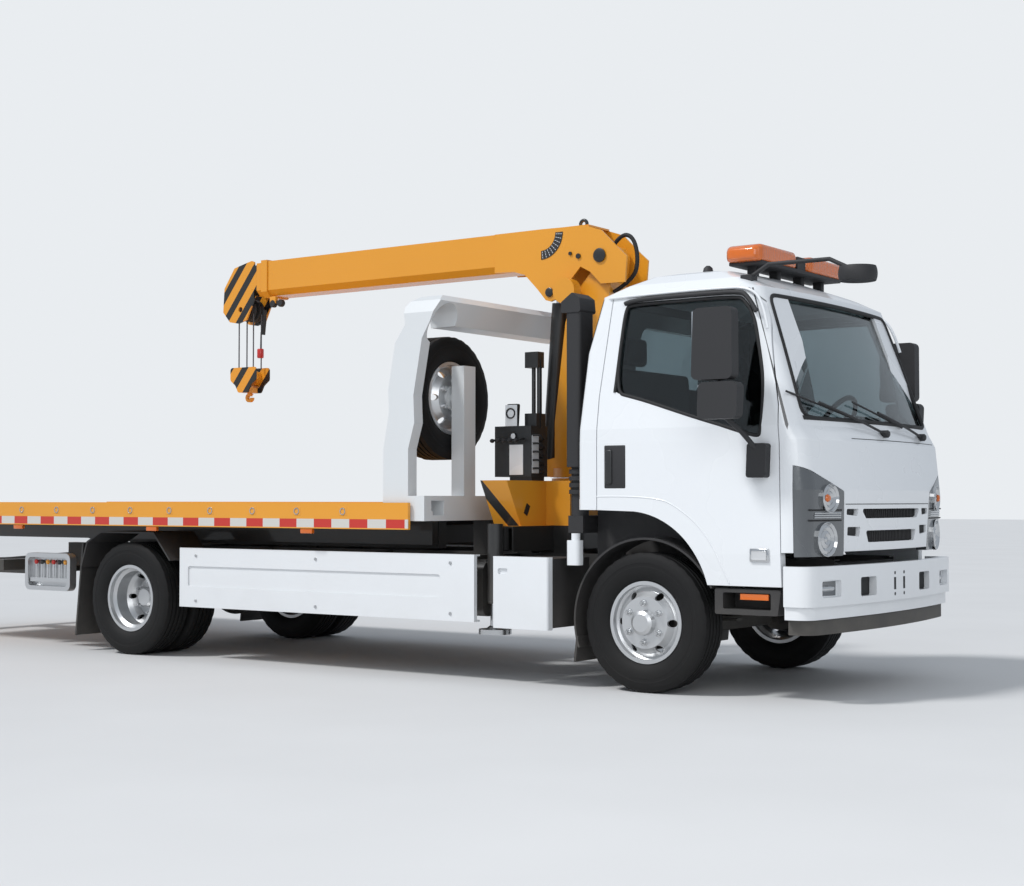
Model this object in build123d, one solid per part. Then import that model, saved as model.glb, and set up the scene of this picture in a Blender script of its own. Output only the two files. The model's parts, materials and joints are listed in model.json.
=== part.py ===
from build123d import *
import math
import os

# A cab-over recovery truck: sliding and tilting bed, telescopic crane and gantry behind the cab.
# Millimetres. While modelling, X = 0 is the front axle, +X forward, +Y left, Z = 0 the ground.
# Each piece is moved by SHIFT_X as it is written, so that the origin is the middle of the length.

os.makedirs("parts", exist_ok=True)

# Overall reach ahead of and behind the front axle
FRONT_REACH = 1330
REAR_REACH = 7200
SHIFT_X = (REAR_REACH - FRONT_REACH) / 2

# Wheels and axles
WHEELBASE = 4175
TYRE_RADIUS = 398.5
TYRE_HALF = 117.5
TREAD_HALF = 96
RIM_SEAT = 222
RIM_FLANGE = 235
RIM_WALL = 10
RIM_HALF = 92
FRONT_TRACK_HALF = 840
REAR_TRACK_HALF = 825
TWIN_HALF = 131.5
KINGPIN_Y = 720
SPINDLE_R = 38
SPINDLE_GAP = 1
LUG_CIRCLE = 222.25
LUG_COUNT = 6
LUG_R = 16
VENT_COUNT = 6
VENT_R = 21
VENT_CIRCLE = 350
HUB_CAP_R = 68
AXLE_Z = TYRE_RADIUS
SPRING_Y = 390
REAR_X = -WHEELBASE

# Chassis
RAIL_OUT = 425
RAIL_FLANGE = 70
RAIL_WALL = 8
RAIL_TOP = 760
RAIL_DEPTH = 210
RAIL_FRONT = 930
RAIL_REAR = -5600

# Cab
CAB_HALF = 1000
CAB_WALL = 50
DOOR_WALL = 60
DOOR_GAP = 6
A_PILLAR = 45
FLOOR_TOP = 1090
FLOOR_WALL = 40
CAB_BASE = 625
CAB_PANEL_BASE = 812
GLASS_INSET = 14
GLASS_WALL = 6
DOOR_HINGE_X = 887
DOOR_HINGE_Y = 1004

# Beacon bar on the roof
BEACON_X = (312, 568)
BEACON_HALF = 600
BEACON_Z = (2438, 2570)
BEACON_ROUND = 96

# Bumper
BUMPER_TOP = 740
BUMPER_BASE = 455
BUMPER_NOSE = 1140
BUMPER_CORNER = 1062
BUMPER_END = 906
BUMPER_WALL = 45
BUMPER_ROUND = 90

# Bed and its tilting subframe
BED_FRONT = -1560
BED_FLOOR_FRONT = -1870
BED_REAR = -6960
BED_HALF = 1150
BED_RAIL_WALL = 23
BED_RAIL_TOP = 1078
BED_RAIL_BASE = 912
BED_FLOOR_TOP = 1030
BED_FLOOR_WALL = 20
BED_BEAM_BASE = 965
BED_TAPER = 420
BED_BEAM_PITCH = 395
SILL_OUT = 515
SILL_IN = 455
SILL_BASE = 800
SUB_OUT = 410
SUB_IN = 325
SUB_BASE = 775
SUB_TOP = 955
SUB_FRONT = -1900
SUB_REAR = -5450
SUB_TAIL_RISE = 35
SUB_MEMBERS = (-2000, -2750, -3200, -4500)
SUB_MEMBER_HALF = 35
BED_PIVOT = (-5250, 830)
PIVOT_TUBE_R = 30
PIVOT_EAR = (RAIL_OUT, 443)
PIVOT_GAP = 1

# Tilt cylinders: foot on the chassis, eye under the subframe
TILT_FOOT = (-4300, 590)
TILT_EYE = (-3300, 850)
TILT_Y = 190
TILT_BARREL_R = 45
TILT_ROD_R = 25
TILT_PIN_R = 20

# Wheel lift at the tail
UNDERLIFT_PIVOT = (-5450, 640)
UNDERLIFT_PIN_R = 25
UNDERLIFT_BORE_R = 25
UNDERLIFT_BORE_Y = 480

# Locker front: X from and to, outer face, depth
LOCKER_X = (-970, -570)
LOCKER_OUT = 1080
LOCKER_WALL = 60

# Gantry between the crane and the bed, fixed to the chassis
LEG_OUT = 1115
LEG_WIDTH = 85
ARCH_TOP = 2360
ARCH_BASE = 2180
CROSS_BEAM_X = (-1600, -1460)
CROSS_BEAM_Z = (965, 1120)
POST_X = (-1600, -1500)
POST_Y = (540, 660)
POST_TOP = 1950
SPARE = (-1740, -600, 1750)

# Crane
SLEW_X = -1050
BASE_TOP = 1235
BASE_RIM = 1215
BASE_BOTTOM = 935
BOOM_PIVOT = (-805, 2660)
ROD_EYE = (-1195, 2450)
BARREL_FOOT = (-1285, 1300)
WINCH = (-1020, 2440)
BARREL_R = 57
BARREL_BORE = 36
ROD_R = 30
BOOM_TOP = 2870
BOOM_BASE = 2612
BOOM_HALF = 125
BOOM_WALL = 8
BOOM_FRONT = -3800
PLATE_WALL = 14
COLUMN_HALF = 95
SECTION_GAP = 6
SHEAVE = (-4040, 2530)
SHEAVE_R = 85
HOOK_TOP = 2112
HOOK_BASE = 1835

# Outriggers
LEG_X = -1056
LEG_Y = 930
LEG_TUBE_R = 48
LEG_BORE = 34
LEG_RAM_R = 30
FOOT_R = 100
FOOT_BASE = 285
FOOT_TOP = 325
HOUSING_HALF = 860
HOUSING_BASE = 780


def block(x0, x1, y0, y1, z0, z1):
    """A box between two corners."""
    size = (x1 - x0, y1 - y0, z1 - z0)
    middle = ((x0 + x1) / 2, (y0 + y1) / 2, (z0 + z1) / 2)
    return Pos(*middle) * Box(*size)


def outline(points, radius=0):
    """A flat face from corner points, with its corners rounded."""
    face = make_face(Polyline(*points, close=True))
    if radius:
        face = fillet(face.vertices(), radius)
    return face


def across(face, y0, y1):
    """A side-view face (x, z) as a solid between two Y places."""
    return Pos(0, y1, 0) * extrude(Plane.XZ * face, amount=y1 - y0)


def along(face, x0, x1):
    """A front-view face (y, z) as a solid between two X places."""
    return Pos(x0, 0, 0) * extrude(Plane.YZ * face, amount=x1 - x0)


def up(face, z0, z1):
    """A plan-view face (x, y) as a solid between two heights."""
    return Pos(0, 0, z0) * extrude(face, amount=z1 - z0)


def rod_x(x0, x1, y, z, radius):
    return Pos((x0 + x1) / 2, y, z) * Rot(0, 90, 0) * Cylinder(radius, x1 - x0)


def rod_y(x, y0, y1, z, radius):
    return Pos(x, (y0 + y1) / 2, z) * Rot(90, 0, 0) * Cylinder(radius, y1 - y0)


def rod_z(x, y, z0, z1, radius):
    return Pos(x, y, (z0 + z1) / 2) * Cylinder(radius, z1 - z0)


def tube(points, radius):
    """A round bar along straight runs, with balls at the bends."""
    shape = Pos(*points[0]) * Sphere(radius)
    for start, end in zip(points, points[1:]):
        run = Vector(*end) - Vector(*start)
        plane = Plane(origin=start, z_dir=run)
        shape += extrude(plane * Circle(radius), amount=run.length)
        shape += Pos(*end) * Sphere(radius)
    return shape


def other_side(shape):
    return mirror(shape, about=Plane.XZ)


def both_sides(shape):
    return shape + other_side(shape)


def turned(points):
    """A solid of revolution about the Y axis from (y, radius) points."""
    return revolve(Plane.YZ * outline(points), Axis.Y, 360)


def kit(*parts):
    """Pieces bolted or welded face to face, kept as separate solids of one node."""
    solids = []
    for part in parts:
        solids += part.solids()
    return Compound(children=[Part() + solid for solid in solids])


def pair(shape):
    """A piece and its mirror image, kept apart."""
    return kit(shape, other_side(shape))


def write(name, shape):
    """Write one node in the finished frame."""
    solids = [Pos(SHIFT_X, 0, 0) * solid for solid in shape.solids()]
    whole = solids[0] if len(solids) == 1 else Compound(children=solids)
    whole.label = name
    export_step(whole, f"parts/{name}.step")


# Wheels: modelled about the Y axis with the outer face towards -Y


def tyre_ring():
    side = [
        (RIM_HALF - 8.5, RIM_SEAT + 0.5),
        (RIM_HALF - 8.5, RIM_FLANGE + 1),
        (RIM_HALF + 3, RIM_FLANGE + 6),
        (TYRE_HALF, 300),
        (TYRE_HALF - 3, 350),
        (TREAD_HALF + 8, 384),
        (TREAD_HALF - 8, TYRE_RADIUS - 1),
    ]
    left = [(-y, r) for y, r in side]
    return turned(side + [(0, TYRE_RADIUS)] + left[::-1])


def rim_barrel():
    half = RIM_HALF
    seat = RIM_SEAT
    well = seat - 22
    profile = [
        (-half, RIM_FLANGE), (-half + 8, RIM_FLANGE), (-half + 8, seat), (-half + 34, seat),
        (-half + 50, well), (half - 50, well), (half - 34, seat), (half - 8, seat),
        (half - 8, RIM_FLANGE), (half, RIM_FLANGE), (half, seat - 8), (half - 30, seat - RIM_WALL),
        (half - 46, well - RIM_WALL), (-half + 46, well - RIM_WALL),
        (-half + 30, seat - RIM_WALL), (-half, seat - 8),
    ]
    return turned(profile)


def ring_of(shape, count, start=0.0):
    """Copies of a shape turned about the Y axis."""
    parts = [Rot(0, start + 360 * i / count, 0) * shape for i in range(count)]
    return parts


def front_rim(capped=True):
    """Convex disc, its face near the outer flange, with vents, lugs and a hub cap."""
    face_y = -RIM_HALF - 10
    disc = turned([
        (face_y + 10, SPINDLE_R + SPINDLE_GAP), (face_y + 10, 142), (face_y + 48, 176),
        (face_y + 62, 192), (face_y + 50, 198), (face_y + 36, 178), (face_y, 148),
        (face_y, SPINDLE_R + SPINDLE_GAP),
    ])
    vents = ring_of(Pos(0, 0, VENT_CIRCLE / 2 - 6) * Rot(90, 0, 0) * Cylinder(VENT_R, 300), VENT_COUNT, 30)
    disc -= Part() + vents
    lugs = ring_of(rod_y(0, face_y - 22, face_y + 4, LUG_CIRCLE / 2, LUG_R), LUG_COUNT)
    cap = turned([
        (face_y + 4, 0), (face_y - 46, 0), (face_y - 46, HUB_CAP_R - 18),
        (face_y - 34, HUB_CAP_R), (face_y + 4, HUB_CAP_R + 6),
    ])
    rim = rim_barrel() + disc + lugs
    return rim + cap if capped else rim


def rear_rims():
    """Twin wheels bolted disc to disc, the outer one deep-dished."""
    dish = turned([
        (TWIN_HALF - 12, 60), (TWIN_HALF, 60), (TWIN_HALF, 150), (TWIN_HALF - 40, 182),
        (TWIN_HALF - 66, 204), (TWIN_HALF - 72, 213), (TWIN_HALF - 84, 200),
        (TWIN_HALF - 52, 172), (TWIN_HALF - 12, 146),
    ])
    vents = ring_of(Pos(0, TWIN_HALF - 30, 170) * Rot(90, 0, 0) * Cylinder(VENT_R - 3, 120), VENT_COUNT, 30)
    dish -= Part() + vents
    hub = turned([(-96, 0), (-96, 58), (-80, 70), (-12, 78), (40, 78), (40, 53), (-30, 53), (-30, 0)])
    outer = Pos(0, -TWIN_HALF, 0) * (rim_barrel() + dish) - hub
    inner = mirror(outer, about=Plane.XZ) - hub
    lugs = ring_of(rod_y(0, -46, 0, LUG_CIRCLE / 2, LUG_R), LUG_COUNT)
    return kit(outer + lugs, inner, hub)


def rear_tyres():
    ring = tyre_ring()
    return Pos(0, -TWIN_HALF, 0) * ring + Pos(0, TWIN_HALF, 0) * ring


def place_wheels():
    front = Pos(0, -FRONT_TRACK_HALF, AXLE_Z)
    rear = Pos(REAR_X, -REAR_TRACK_HALF, AXLE_Z)
    table = {
        "tyre_front": front * tyre_ring(),
        "rim_front": front * front_rim(),
        "tyres_rear": rear * rear_tyres(),
        "rims_rear": rear * rear_rims(),
    }
    for name, shape in table.items():
        write(name + "_right", shape)
        write(name + "_left", other_side(shape))


# Axles, knuckles and springs


def spring_pack(x_mid, half_length, y, z_mid, drop):
    """A shallow-arched pack of leaves with rolled eyes, and its two hangers."""
    width = 70
    leaves = 3
    shape = Part()
    for i in range(leaves):
        reach = half_length * (1 - 0.22 * i)
        low = z_mid - 12 * i
        face = outline([
            (x_mid - reach, low + drop * (reach / half_length) ** 2), (x_mid, low),
            (x_mid + reach, low + drop * (reach / half_length) ** 2),
            (x_mid + reach, low + 12.5 + drop * (reach / half_length) ** 2), (x_mid, low + 12.5),
            (x_mid - reach, low + 12.5 + drop * (reach / half_length) ** 2),
        ])
        shape += across(face, y - width / 2, y + width / 2)
    for end in (-1, 1):
        x = x_mid + end * half_length
        shape += rod_y(x, y - width / 2, y + width / 2, z_mid + drop + 8, 26)
        shape += block(x - 22, x + 22, y - 30, y + 30, z_mid + drop, RAIL_TOP - RAIL_DEPTH)
    return shape


def front_axle():
    """Dropped beam with the leaf packs clamped on it and an eye round each kingpin."""
    beam = across(outline([(-45, 300), (45, 300), (45, 385), (-45, 385)], 12), -560, 560)
    ends = both_sides(across(outline([(-32, 345), (32, 345), (32, 433), (-32, 433)], 8), 540, KINGPIN_Y - 6))
    eyes = both_sides(rod_z(0, KINGPIN_Y, 346, 432, 32))
    springs = both_sides(spring_pack(0, 560, SPRING_Y, 397, 60))
    clamps = both_sides(block(-60, 60, SPRING_Y - 45, SPRING_Y + 45, 380, 425))
    return beam + ends + eyes + springs + clamps


def knuckle():
    """Steering knuckle on its kingpin, with the brake drum and the wheel spindle (right side)."""
    fork = block(-34, 34, -KINGPIN_Y - 34, -KINGPIN_Y + 34, 300, 490)
    slot = block(-60, 60, -KINGPIN_Y - 42, -KINGPIN_Y + 60, 334, 444)
    web = block(-34, 34, -KINGPIN_Y - 62, -KINGPIN_Y - 34, 300, 490)
    drum = Pos(0, -FRONT_TRACK_HALF, AXLE_Z) * turned([
        (84, 0), (84, 60), (80, 150), (20, 158), (20, 0),
    ])
    spindle = rod_y(0, -FRONT_TRACK_HALF - RIM_HALF - 4, -KINGPIN_Y - 45, AXLE_Z, SPINDLE_R)
    arm = tube([(0, -KINGPIN_Y, 312), (-190, -KINGPIN_Y + 55, 312)], 16)
    return fork - slot + web + drum + spindle + arm


def rear_axle():
    """Banjo housing with brake drums, spindles, springs and bump pads."""
    tube_half = REAR_TRACK_HALF - TWIN_HALF - 100
    housing = rod_y(REAR_X, -tube_half, tube_half, AXLE_Z, 62)
    bowl = Pos(REAR_X, 0, AXLE_Z) * Sphere(170)
    bowl &= block(REAR_X - 200, REAR_X + 200, -110, 110, 200, 600)
    nose = rod_x(REAR_X + 120, REAR_X + 260, 0, AXLE_Z + 10, 70)
    drum = Pos(REAR_X, -REAR_TRACK_HALF, AXLE_Z) * turned([
        (TWIN_HALF + 100, 0), (TWIN_HALF + 100, 150), (TWIN_HALF - 30, 168), (TWIN_HALF - 30, 0),
    ])
    spindle = rod_y(REAR_X, -REAR_TRACK_HALF - 20, -tube_half, AXLE_Z, 50)
    springs = both_sides(Pos(REAR_X, 0, 0) * spring_pack(0, 620, SPRING_Y, 452, 60))
    clamps = both_sides(block(REAR_X - 70, REAR_X + 70, SPRING_Y - 45, SPRING_Y + 45, 400, 478))
    return housing + bowl + nose + both_sides(drum + spindle) + springs + clamps


# Chassis


def frame_rail():
    """Left channel rail, open towards the middle."""
    low = RAIL_TOP - RAIL_DEPTH
    rail = block(RAIL_REAR, RAIL_FRONT, RAIL_OUT - RAIL_FLANGE, RAIL_OUT, low, RAIL_TOP)
    hollow = block(RAIL_REAR - 1, RAIL_FRONT + 1, RAIL_OUT - RAIL_FLANGE - 1, RAIL_OUT - RAIL_WALL,
                   low + RAIL_WALL, RAIL_TOP - RAIL_WALL)
    return rail - hollow


def pin_ear(x, z, foot_z, half, y0, y1, bore):
    """A plate standing on a rail with a bore for a pin, in side view."""
    low, high = min(foot_z, z - 45), max(foot_z, z + 45)
    ear = across(outline([(x - half, low), (x + half, low), (x + 45, high), (x - 45, high)], 10), y0, y1)
    return ear - rod_y(x, y0 - 10, y1 + 10, z, bore)


def chassis_frame():
    """Channel rails, cross members, brackets and the black under-run lip."""
    low = RAIL_TOP - RAIL_DEPTH
    inner = RAIL_OUT - RAIL_WALL
    pieces = [pair(frame_rail())]
    for x in (900, -1200, -1800, -2520, -3300, -4700):
        pieces.append(block(x - 30, x + 30, -inner, inner, low + 90, low + 190))
    # Brackets: x, half width along X, y from, y to, z from, z to
    brackets = [
        (-1250, 20, RAIL_OUT, 1030, 730, 755),
        (-2300, 20, RAIL_OUT, 1030, 730, 755),
        (-3400, 20, RAIL_OUT, 1030, 730, 755),
        (-770, 60, RAIL_OUT, 620, 640, 700),
        (-3760, 14, RAIL_OUT, 700, 690, 716),
        (-4610, 14, RAIL_OUT, 700, 700, 726),
        (-330, 16, RAIL_OUT, 700, 724, 750),
        (640, 60, RAIL_OUT, 600, 560, 600),
    ]
    for x, half, y0, y1, z0, z1 in brackets:
        pieces.append(pair(block(x - half, x + half, y0, y1, z0, z1)))
    pieces.append(block(-5125, -5045, -985, -RAIL_OUT, 560, 600))
    # Stands of the gantry on the rails
    pieces.append(pair(block(*CROSS_BEAM_X, RAIL_OUT - RAIL_FLANGE, RAIL_OUT, RAIL_TOP, CROSS_BEAM_Z[0])))
    # Lip below the bumper and its irons
    lip = bumper_band(BUMPER_NOSE - 30, BUMPER_CORNER - 30, 960, 40, 372, BUMPER_BASE - 4)
    iron = block(RAIL_FRONT - 60, 1070, 300, 380, 560, 640)
    iron += block(RAIL_FRONT - 20, 1054, 300, 340, 400, 600)
    iron += block(1040, 1075, 300, 340, 400, 450)
    pieces += [lip, pair(iron - lip)]
    # Ears for the pivot tube of the bed
    x, z = BED_PIVOT
    pieces.append(pair(pin_ear(x, z, low + 40, 110, *PIVOT_EAR, PIVOT_TUBE_R + PIVOT_GAP)))
    # Pin for the feet of the tilt cylinders
    x, z = TILT_FOOT
    pieces.append(rod_y(x, -inner, inner, z, TILT_PIN_R))
    # Lamp carriers at the tail
    pieces.append(pair(block(RAIL_REAR - 60, RAIL_REAR, 355, 1040, 560, 640)))
    return kit(*pieces)


def powertrain():
    """Engine and gearbox as plain blocks, with the propeller shaft behind them."""
    engine = block(-560, 620, -270, 270, 520, 960)
    mounts = pair(block(200, 300, 270, RAIL_OUT - RAIL_WALL, 600, 660))
    gearbox = along(outline([(-150, 470), (150, 470), (150, 720), (-150, 720)], 60), -1150, -560)
    shaft = tube([(-1150, 0, 585), (-2600, 0, 540), (REAR_X + 304, 0, AXLE_Z + 14)], 42)
    return kit(engine, mounts, gearbox, shaft - gearbox)


def bow_plan(nose, corner, half):
    """Bow-fronted plan with its front corners rounded."""
    face = make_face([
        Polyline((corner, -half), (0, -half), (0, half), (corner, half)),
        ThreePointArc((corner, half), (nose, 0), (corner, -half)),
    ])
    return fillet([v for v in face.vertices() if v.X > 1], BUMPER_ROUND)


def bumper_band(nose, corner, half, wall, z0, z1):
    plan = bow_plan(nose, corner, half) - bow_plan(nose - wall, corner - wall, half - wall)
    return up(plan, z0, z1) & block(BUMPER_END, 2000, -2000, 2000, z0, z1)


def front_bumper():
    """Deep bumper: two bands with a step, fog-lamp recesses and towing slots."""
    crease = 525
    upper = bumper_band(BUMPER_NOSE, BUMPER_CORNER, CAB_HALF + 20, BUMPER_WALL, crease, BUMPER_TOP)
    lower = bumper_band(BUMPER_NOSE - 22, BUMPER_CORNER - 18, CAB_HALF + 6, BUMPER_WALL, BUMPER_BASE, crease)
    slot = along(outline([(312, 565), (500, 565), (500, 670), (312, 670)], 14), 1000, 1300)
    fog = along(outline([(715, 572), (905, 572), (905, 664), (715, 664)], 16), 900, 1300)
    depth = 24
    fog -= up(bow_plan(BUMPER_NOSE - depth, BUMPER_CORNER - depth, CAB_HALF - depth), 500, 700)
    shape = upper + lower - both_sides(slot) - both_sides(fog)
    return shape + both_sides(block(1070, 1085, 300, 512, 555, 680))


# Side fittings


def side_boxes():
    """Pressed side guards, the small lockers ahead of them and the coolant bottle."""
    guard = block(-3660, -1120, -1060, -1030, 360, 765)
    guard += block(-3660, -1120, -1060, -1000, 755, 765) + block(-3660, -1120, -1060, -1000, 360, 370)
    band = across(outline([(-3580, 500), (-1380, 500), (-1380, 640), (-3580, 640)], 20), -1066, -1050)
    locker = block(*LOCKER_X, -LOCKER_OUT, LOCKER_WALL - LOCKER_OUT, 335, 760)
    locker = fillet(locker.edges().filter_by(Axis.Z), 14)
    recess = across(outline([(-930, 655), (-860, 655), (-860, 690), (-930, 690)], 10), -1090, -1066)
    bottle = block(-500, -410, -1000, -930, 715, 860)
    bottle = fillet(bottle.edges().filter_by(Axis.Z), 25) + rod_z(-450, -965, 860, 900, 26)
    return both_sides(guard - band + (locker - recess)) + bottle


def battery_boxes():
    """Dark boxes that the locker fronts close off."""
    inset = 10
    return pair(block(
        LOCKER_X[0] + inset, LOCKER_X[1] - inset, 620, LOCKER_OUT - LOCKER_WALL, 345, 750))


def fuel_tank():
    """Rounded tank in the gap behind the right guard, with a filler at its front."""
    tank = along(outline([(-950, 385), (-480, 385), (-480, 718), (-950, 718)], 60), -2050, -1135)
    filler = rod_z(-1185, -860, 700, 728, 44)
    return tank + filler


def wheel_cover(x_mid, radius, wall, y0, y1, start, end):
    """An arched liner over a wheel between two angles in degrees."""
    ring = Circle(radius + wall) - Circle(radius)
    span = radius * 3
    wedge = outline([(0, 0)] + [
        (span * math.cos(math.radians(a)), span * math.sin(math.radians(a)))
        for a in (start, (start * 2 + end) / 3, (start + end * 2) / 3, end)
    ])
    return Pos(x_mid, 0, AXLE_Z) * across(ring & wedge, y0, y1)


def mudguards():
    """Front liners with flaps, the steps under the doors, rear fenders with flaps."""
    liner = wheel_cover(0, 470, 12, -938, -700, 26, 200)
    panel = across(outline([(-460, 600), (-460, 1034), (330, 1034), (330, 700)]), -712, -700)
    liner += panel - rod_y(0, -800, -600, AXLE_Z, 476)
    flap = across(outline([(-484, 150), (-470, 150), (-452, 300), (-466, 300)]), -938, -700)
    liner += flap
    step = across(outline([(470, 470), (850, 470), (870, 610), (470, 610)], 12), -975, -760)
    step -= across(outline([(520, 500), (810, 500), (810, 590), (520, 590)], 10), -990, -830)
    step += block(580, 700, -770, -600, 560, 600)
    top = 870
    plate = outline([
        (-3730, 680), (-3900, top), (-4450, top), (-4602, 795), (-4668, 610), (-4656, 606),
        (-4592, 786), (-4448, top - 12), (-3906, top - 12), (-3739, 672),
    ])
    fender = across(plate, -1085, -700)
    flap_rear = across(outline([(-4680, 780), (-4664, 780), (-4735, 112), (-4750, 112)]), -1060, -620)
    flap_rear += block(-4720, -4664, -720, -RAIL_OUT, 748, 772)
    return both_sides(liner + step) + both_sides(fender + flap_rear)


def lever_station():
    """Framed bank of bed levers behind the right rear wheel."""
    frame = across(outline([(-5340, 424), (-4830, 424), (-4830, 700), (-5340, 700)], 50), -1045, -985)
    frame -= across(outline([(-5308, 456), (-4862, 456), (-4862, 668), (-5308, 668)], 34), -1060, -995)
    sill = block(-5300, -4870, -1030, -995, 486, 516)
    levers = [rod_z(-5250 + 66 * i, -1012, 510, 628, 7) for i in range(6)]
    knobs = [Pos(-5250 + 66 * i, -1012, 634) * Sphere(13) for i in range(6)]
    return frame + sill + levers + knobs


def tail_lamps():
    lamp = block(RAIL_REAR - 90, RAIL_REAR - 61, 760, 1020, 560, 640)
    return both_sides(lamp)


def snorkel():
    """High air intake behind the cab's right corner, with its bellows."""
    duct = block(-575, -468, -890, -730, 1290, 2210)
    duct = fillet(duct.edges().filter_by(Axis.Z), 28)
    hood = across(outline([(-600, 2205), (-462, 2205), (-470, 2290), (-520, 2325), (-600, 2270)], 14), -895, -725)
    bellows = [rod_z(-520, -810, 1130 + 40 * i, 1155 + 40 * i, 66) for i in range(4)]
    core = rod_z(-520, -810, 1000, 1292, 52)
    elbow = block(-572, -468, -860, -420, 900, 1002)
    leg = block(-560, -480, -440, -360, RAIL_TOP, 910)
    return duct + hood + bellows + core + elbow + leg


# Cab


# z, rear x, nose x on the centre line, nose x at the corner, half width, front corner radius
CAB_SECTIONS = [
    (627, -430, 1100, 1000, 990, 130),
    (800, -430, 1100, 1000, 1000, 130),
    (1150, -430, 1118, 1018, 1000, 130),
    (1420, -430, 1085, 990, 1000, 120),
    (1500, -430, 1030, 945, 998, 100),
    (1950, -410, 865, 800, 930, 90),
    (2280, -330, 745, 685, 880, 90),
    (2345, -210, 620, 560, 800, 70),
    (2400, -110, 470, 410, 690, 70),
    (2420, -20, 350, 295, 600, 70),
]
CAB_REAR_R = 60
ROOF_START = 2200
WINDOW_BAND_TOP = 2300


def cab_volume(inset=0.0):
    """The cab's outer form, or the same form drawn in by a wall."""
    faces = []
    for z, rear, nose, corner, half, nose_r in CAB_SECTIONS:
        level = z - inset if z > ROOF_START else z
        face = make_face([
            Polyline((corner - inset, half - inset), (rear + inset, half - inset),
                     (rear + inset, inset - half), (corner - inset, inset - half)),
            ThreePointArc((corner - inset, inset - half), (nose - inset, 0), (corner - inset, half - inset)),
        ])
        rear_corners = [v for v in face.vertices() if v.X < rear + inset + 1]
        face = fillet(rear_corners, CAB_REAR_R)
        nose_corners = [v for v in face.vertices() if v.X > corner - inset - 1]
        face = fillet(nose_corners, nose_r)
        faces.append(Pos(0, 0, level) * face)
    return loft(faces, ruled=True)


def arch_cut():
    """The wheel arch and everything below the cab's lower edge, in side view."""
    return make_face([
        Polyline((433, 560), (-900, 560), (-900, 1040), (-283, 1037)),
        Line((-283, 1037), (-36, 1030)),
        ThreePointArc((-36, 1030), (262, 905), (433, 621)),
        Line((433, 621), (433, 560)),
    ])


DOOR_POINTS = [
    (-280, 1045), (-280, 1690), (-236, 2262), (640, 2262), (738, 2170), (781, 1976),
    (858, 1609), (874, 1400), (881, 627), (420, 627), (420, 560), (-280, 560),
]
WINDOW_POINTS = [
    (-180, 1712), (-150, 2222), (592, 2222), (683, 2110), (768, 1740), (768, 1430), (390, 1544), (31, 1657),
]


def door_face(grow=0.0):
    """Door outline; the wheel arch bounds it below."""
    face = outline(DOOR_POINTS[:8] + [(881, 627), (433, 627), (433, 560), (-280, 560)])
    if grow:
        face = offset(face, amount=grow, kind=Kind.INTERSECTION)
    return face


def side_slab(depth):
    """What lies outside a wall's inner face on the right flank, following its lean."""
    inner = [(depth - half, z) for z, _, _, _, half, _ in CAB_SECTIONS if z <= WINDOW_BAND_TOP]
    return along(outline([(-1200, 500), (depth - CAB_HALF, 500)] + inner + [(-1200, WINDOW_BAND_TOP)]), -600, 1300)


def window_face(grow=0.0):
    face = outline(WINDOW_POINTS, 34)
    if grow:
        face = offset(face, amount=grow)
    return face


def windscreen_prism():
    """The windscreen's outline in front view, kept ahead of the pillars."""
    face = outline([(-862, 1540), (862, 1540), (785, 2232), (-785, 2232)], 50)
    rake = outline([(830, 1400), (1300, 1400), (1300, 2300), (560, 2300)])
    pillars = both_sides(across(door_face(A_PILLAR), 600, 1200))
    return (along(face, 500, 1300) & across(rake, -950, 950)) - pillars


def rear_window_face():
    return outline([(-430, 1800), (430, 1800), (430, 2140), (-430, 2140)], 50)


def lamp_face(grow=0.0):
    """Headlamp outline in front view, left side."""
    face = outline([(600, 790), (620, 1140), (990, 1278), (1100, 1278), (1100, 790)], 14)
    return offset(face, amount=grow) if grow else face


LAMP_BACK_X = 950


def cab_shell(outer, cabin):
    """Walls, floor, pillars and roof, with the doors, glass, lamps and grille cut out."""
    shell = outer - (cabin & block(-2000, 2000, -2000, 2000, FLOOR_TOP, 3000))
    shell -= cabin & block(-2000, 2000, -2000, 2000, 500, FLOOR_TOP - FLOOR_WALL)
    shell -= across(arch_cut(), -1200, 1200)
    shell -= block(880, 1300, -1200, 1200, 500, CAB_PANEL_BASE)
    opening = across(door_face(DOOR_GAP), -1200, -600) & side_slab(DOOR_WALL + DOOR_GAP)
    shell -= both_sides(opening)
    shell -= windscreen_prism()
    shell -= along(rear_window_face(), -700, -200)
    shell -= both_sides(along(lamp_face(3), LAMP_BACK_X, 1300))
    for slot in grille_slots():
        shell -= slot
    return shell


def cab_glass():
    skin = cab_volume(GLASS_INSET) - cab_volume(GLASS_INSET + GLASS_WALL)
    screen = skin & windscreen_prism()
    rear = skin & along(rear_window_face(), -700, -200)
    return screen + rear


def grille_slots():
    """The two middle slots and the small ones beside them, as cutters."""
    # Half width at the foot, half width at the top, z from, z to
    middle = [(368, 425, 992, 1046), (330, 366, 858, 924)]
    # y from, y to, z from, z to
    side = [(470, 585, 1006, 1046), (440, 570, 892, 946)]
    slots = []
    for foot, top, z0, z1 in middle:
        slots.append(along(outline([(-foot, z0), (foot, z0), (top, z1), (-top, z1)], 12), 900, 1300))
    for y0, y1, z0, z1 in side:
        face = outline([(y0, z0), (y1, z0 + 8), (y1, z1), (y0 - 14, z1)], 8)
        slots.append(both_sides(along(face, 900, 1300)))
    return slots


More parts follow.
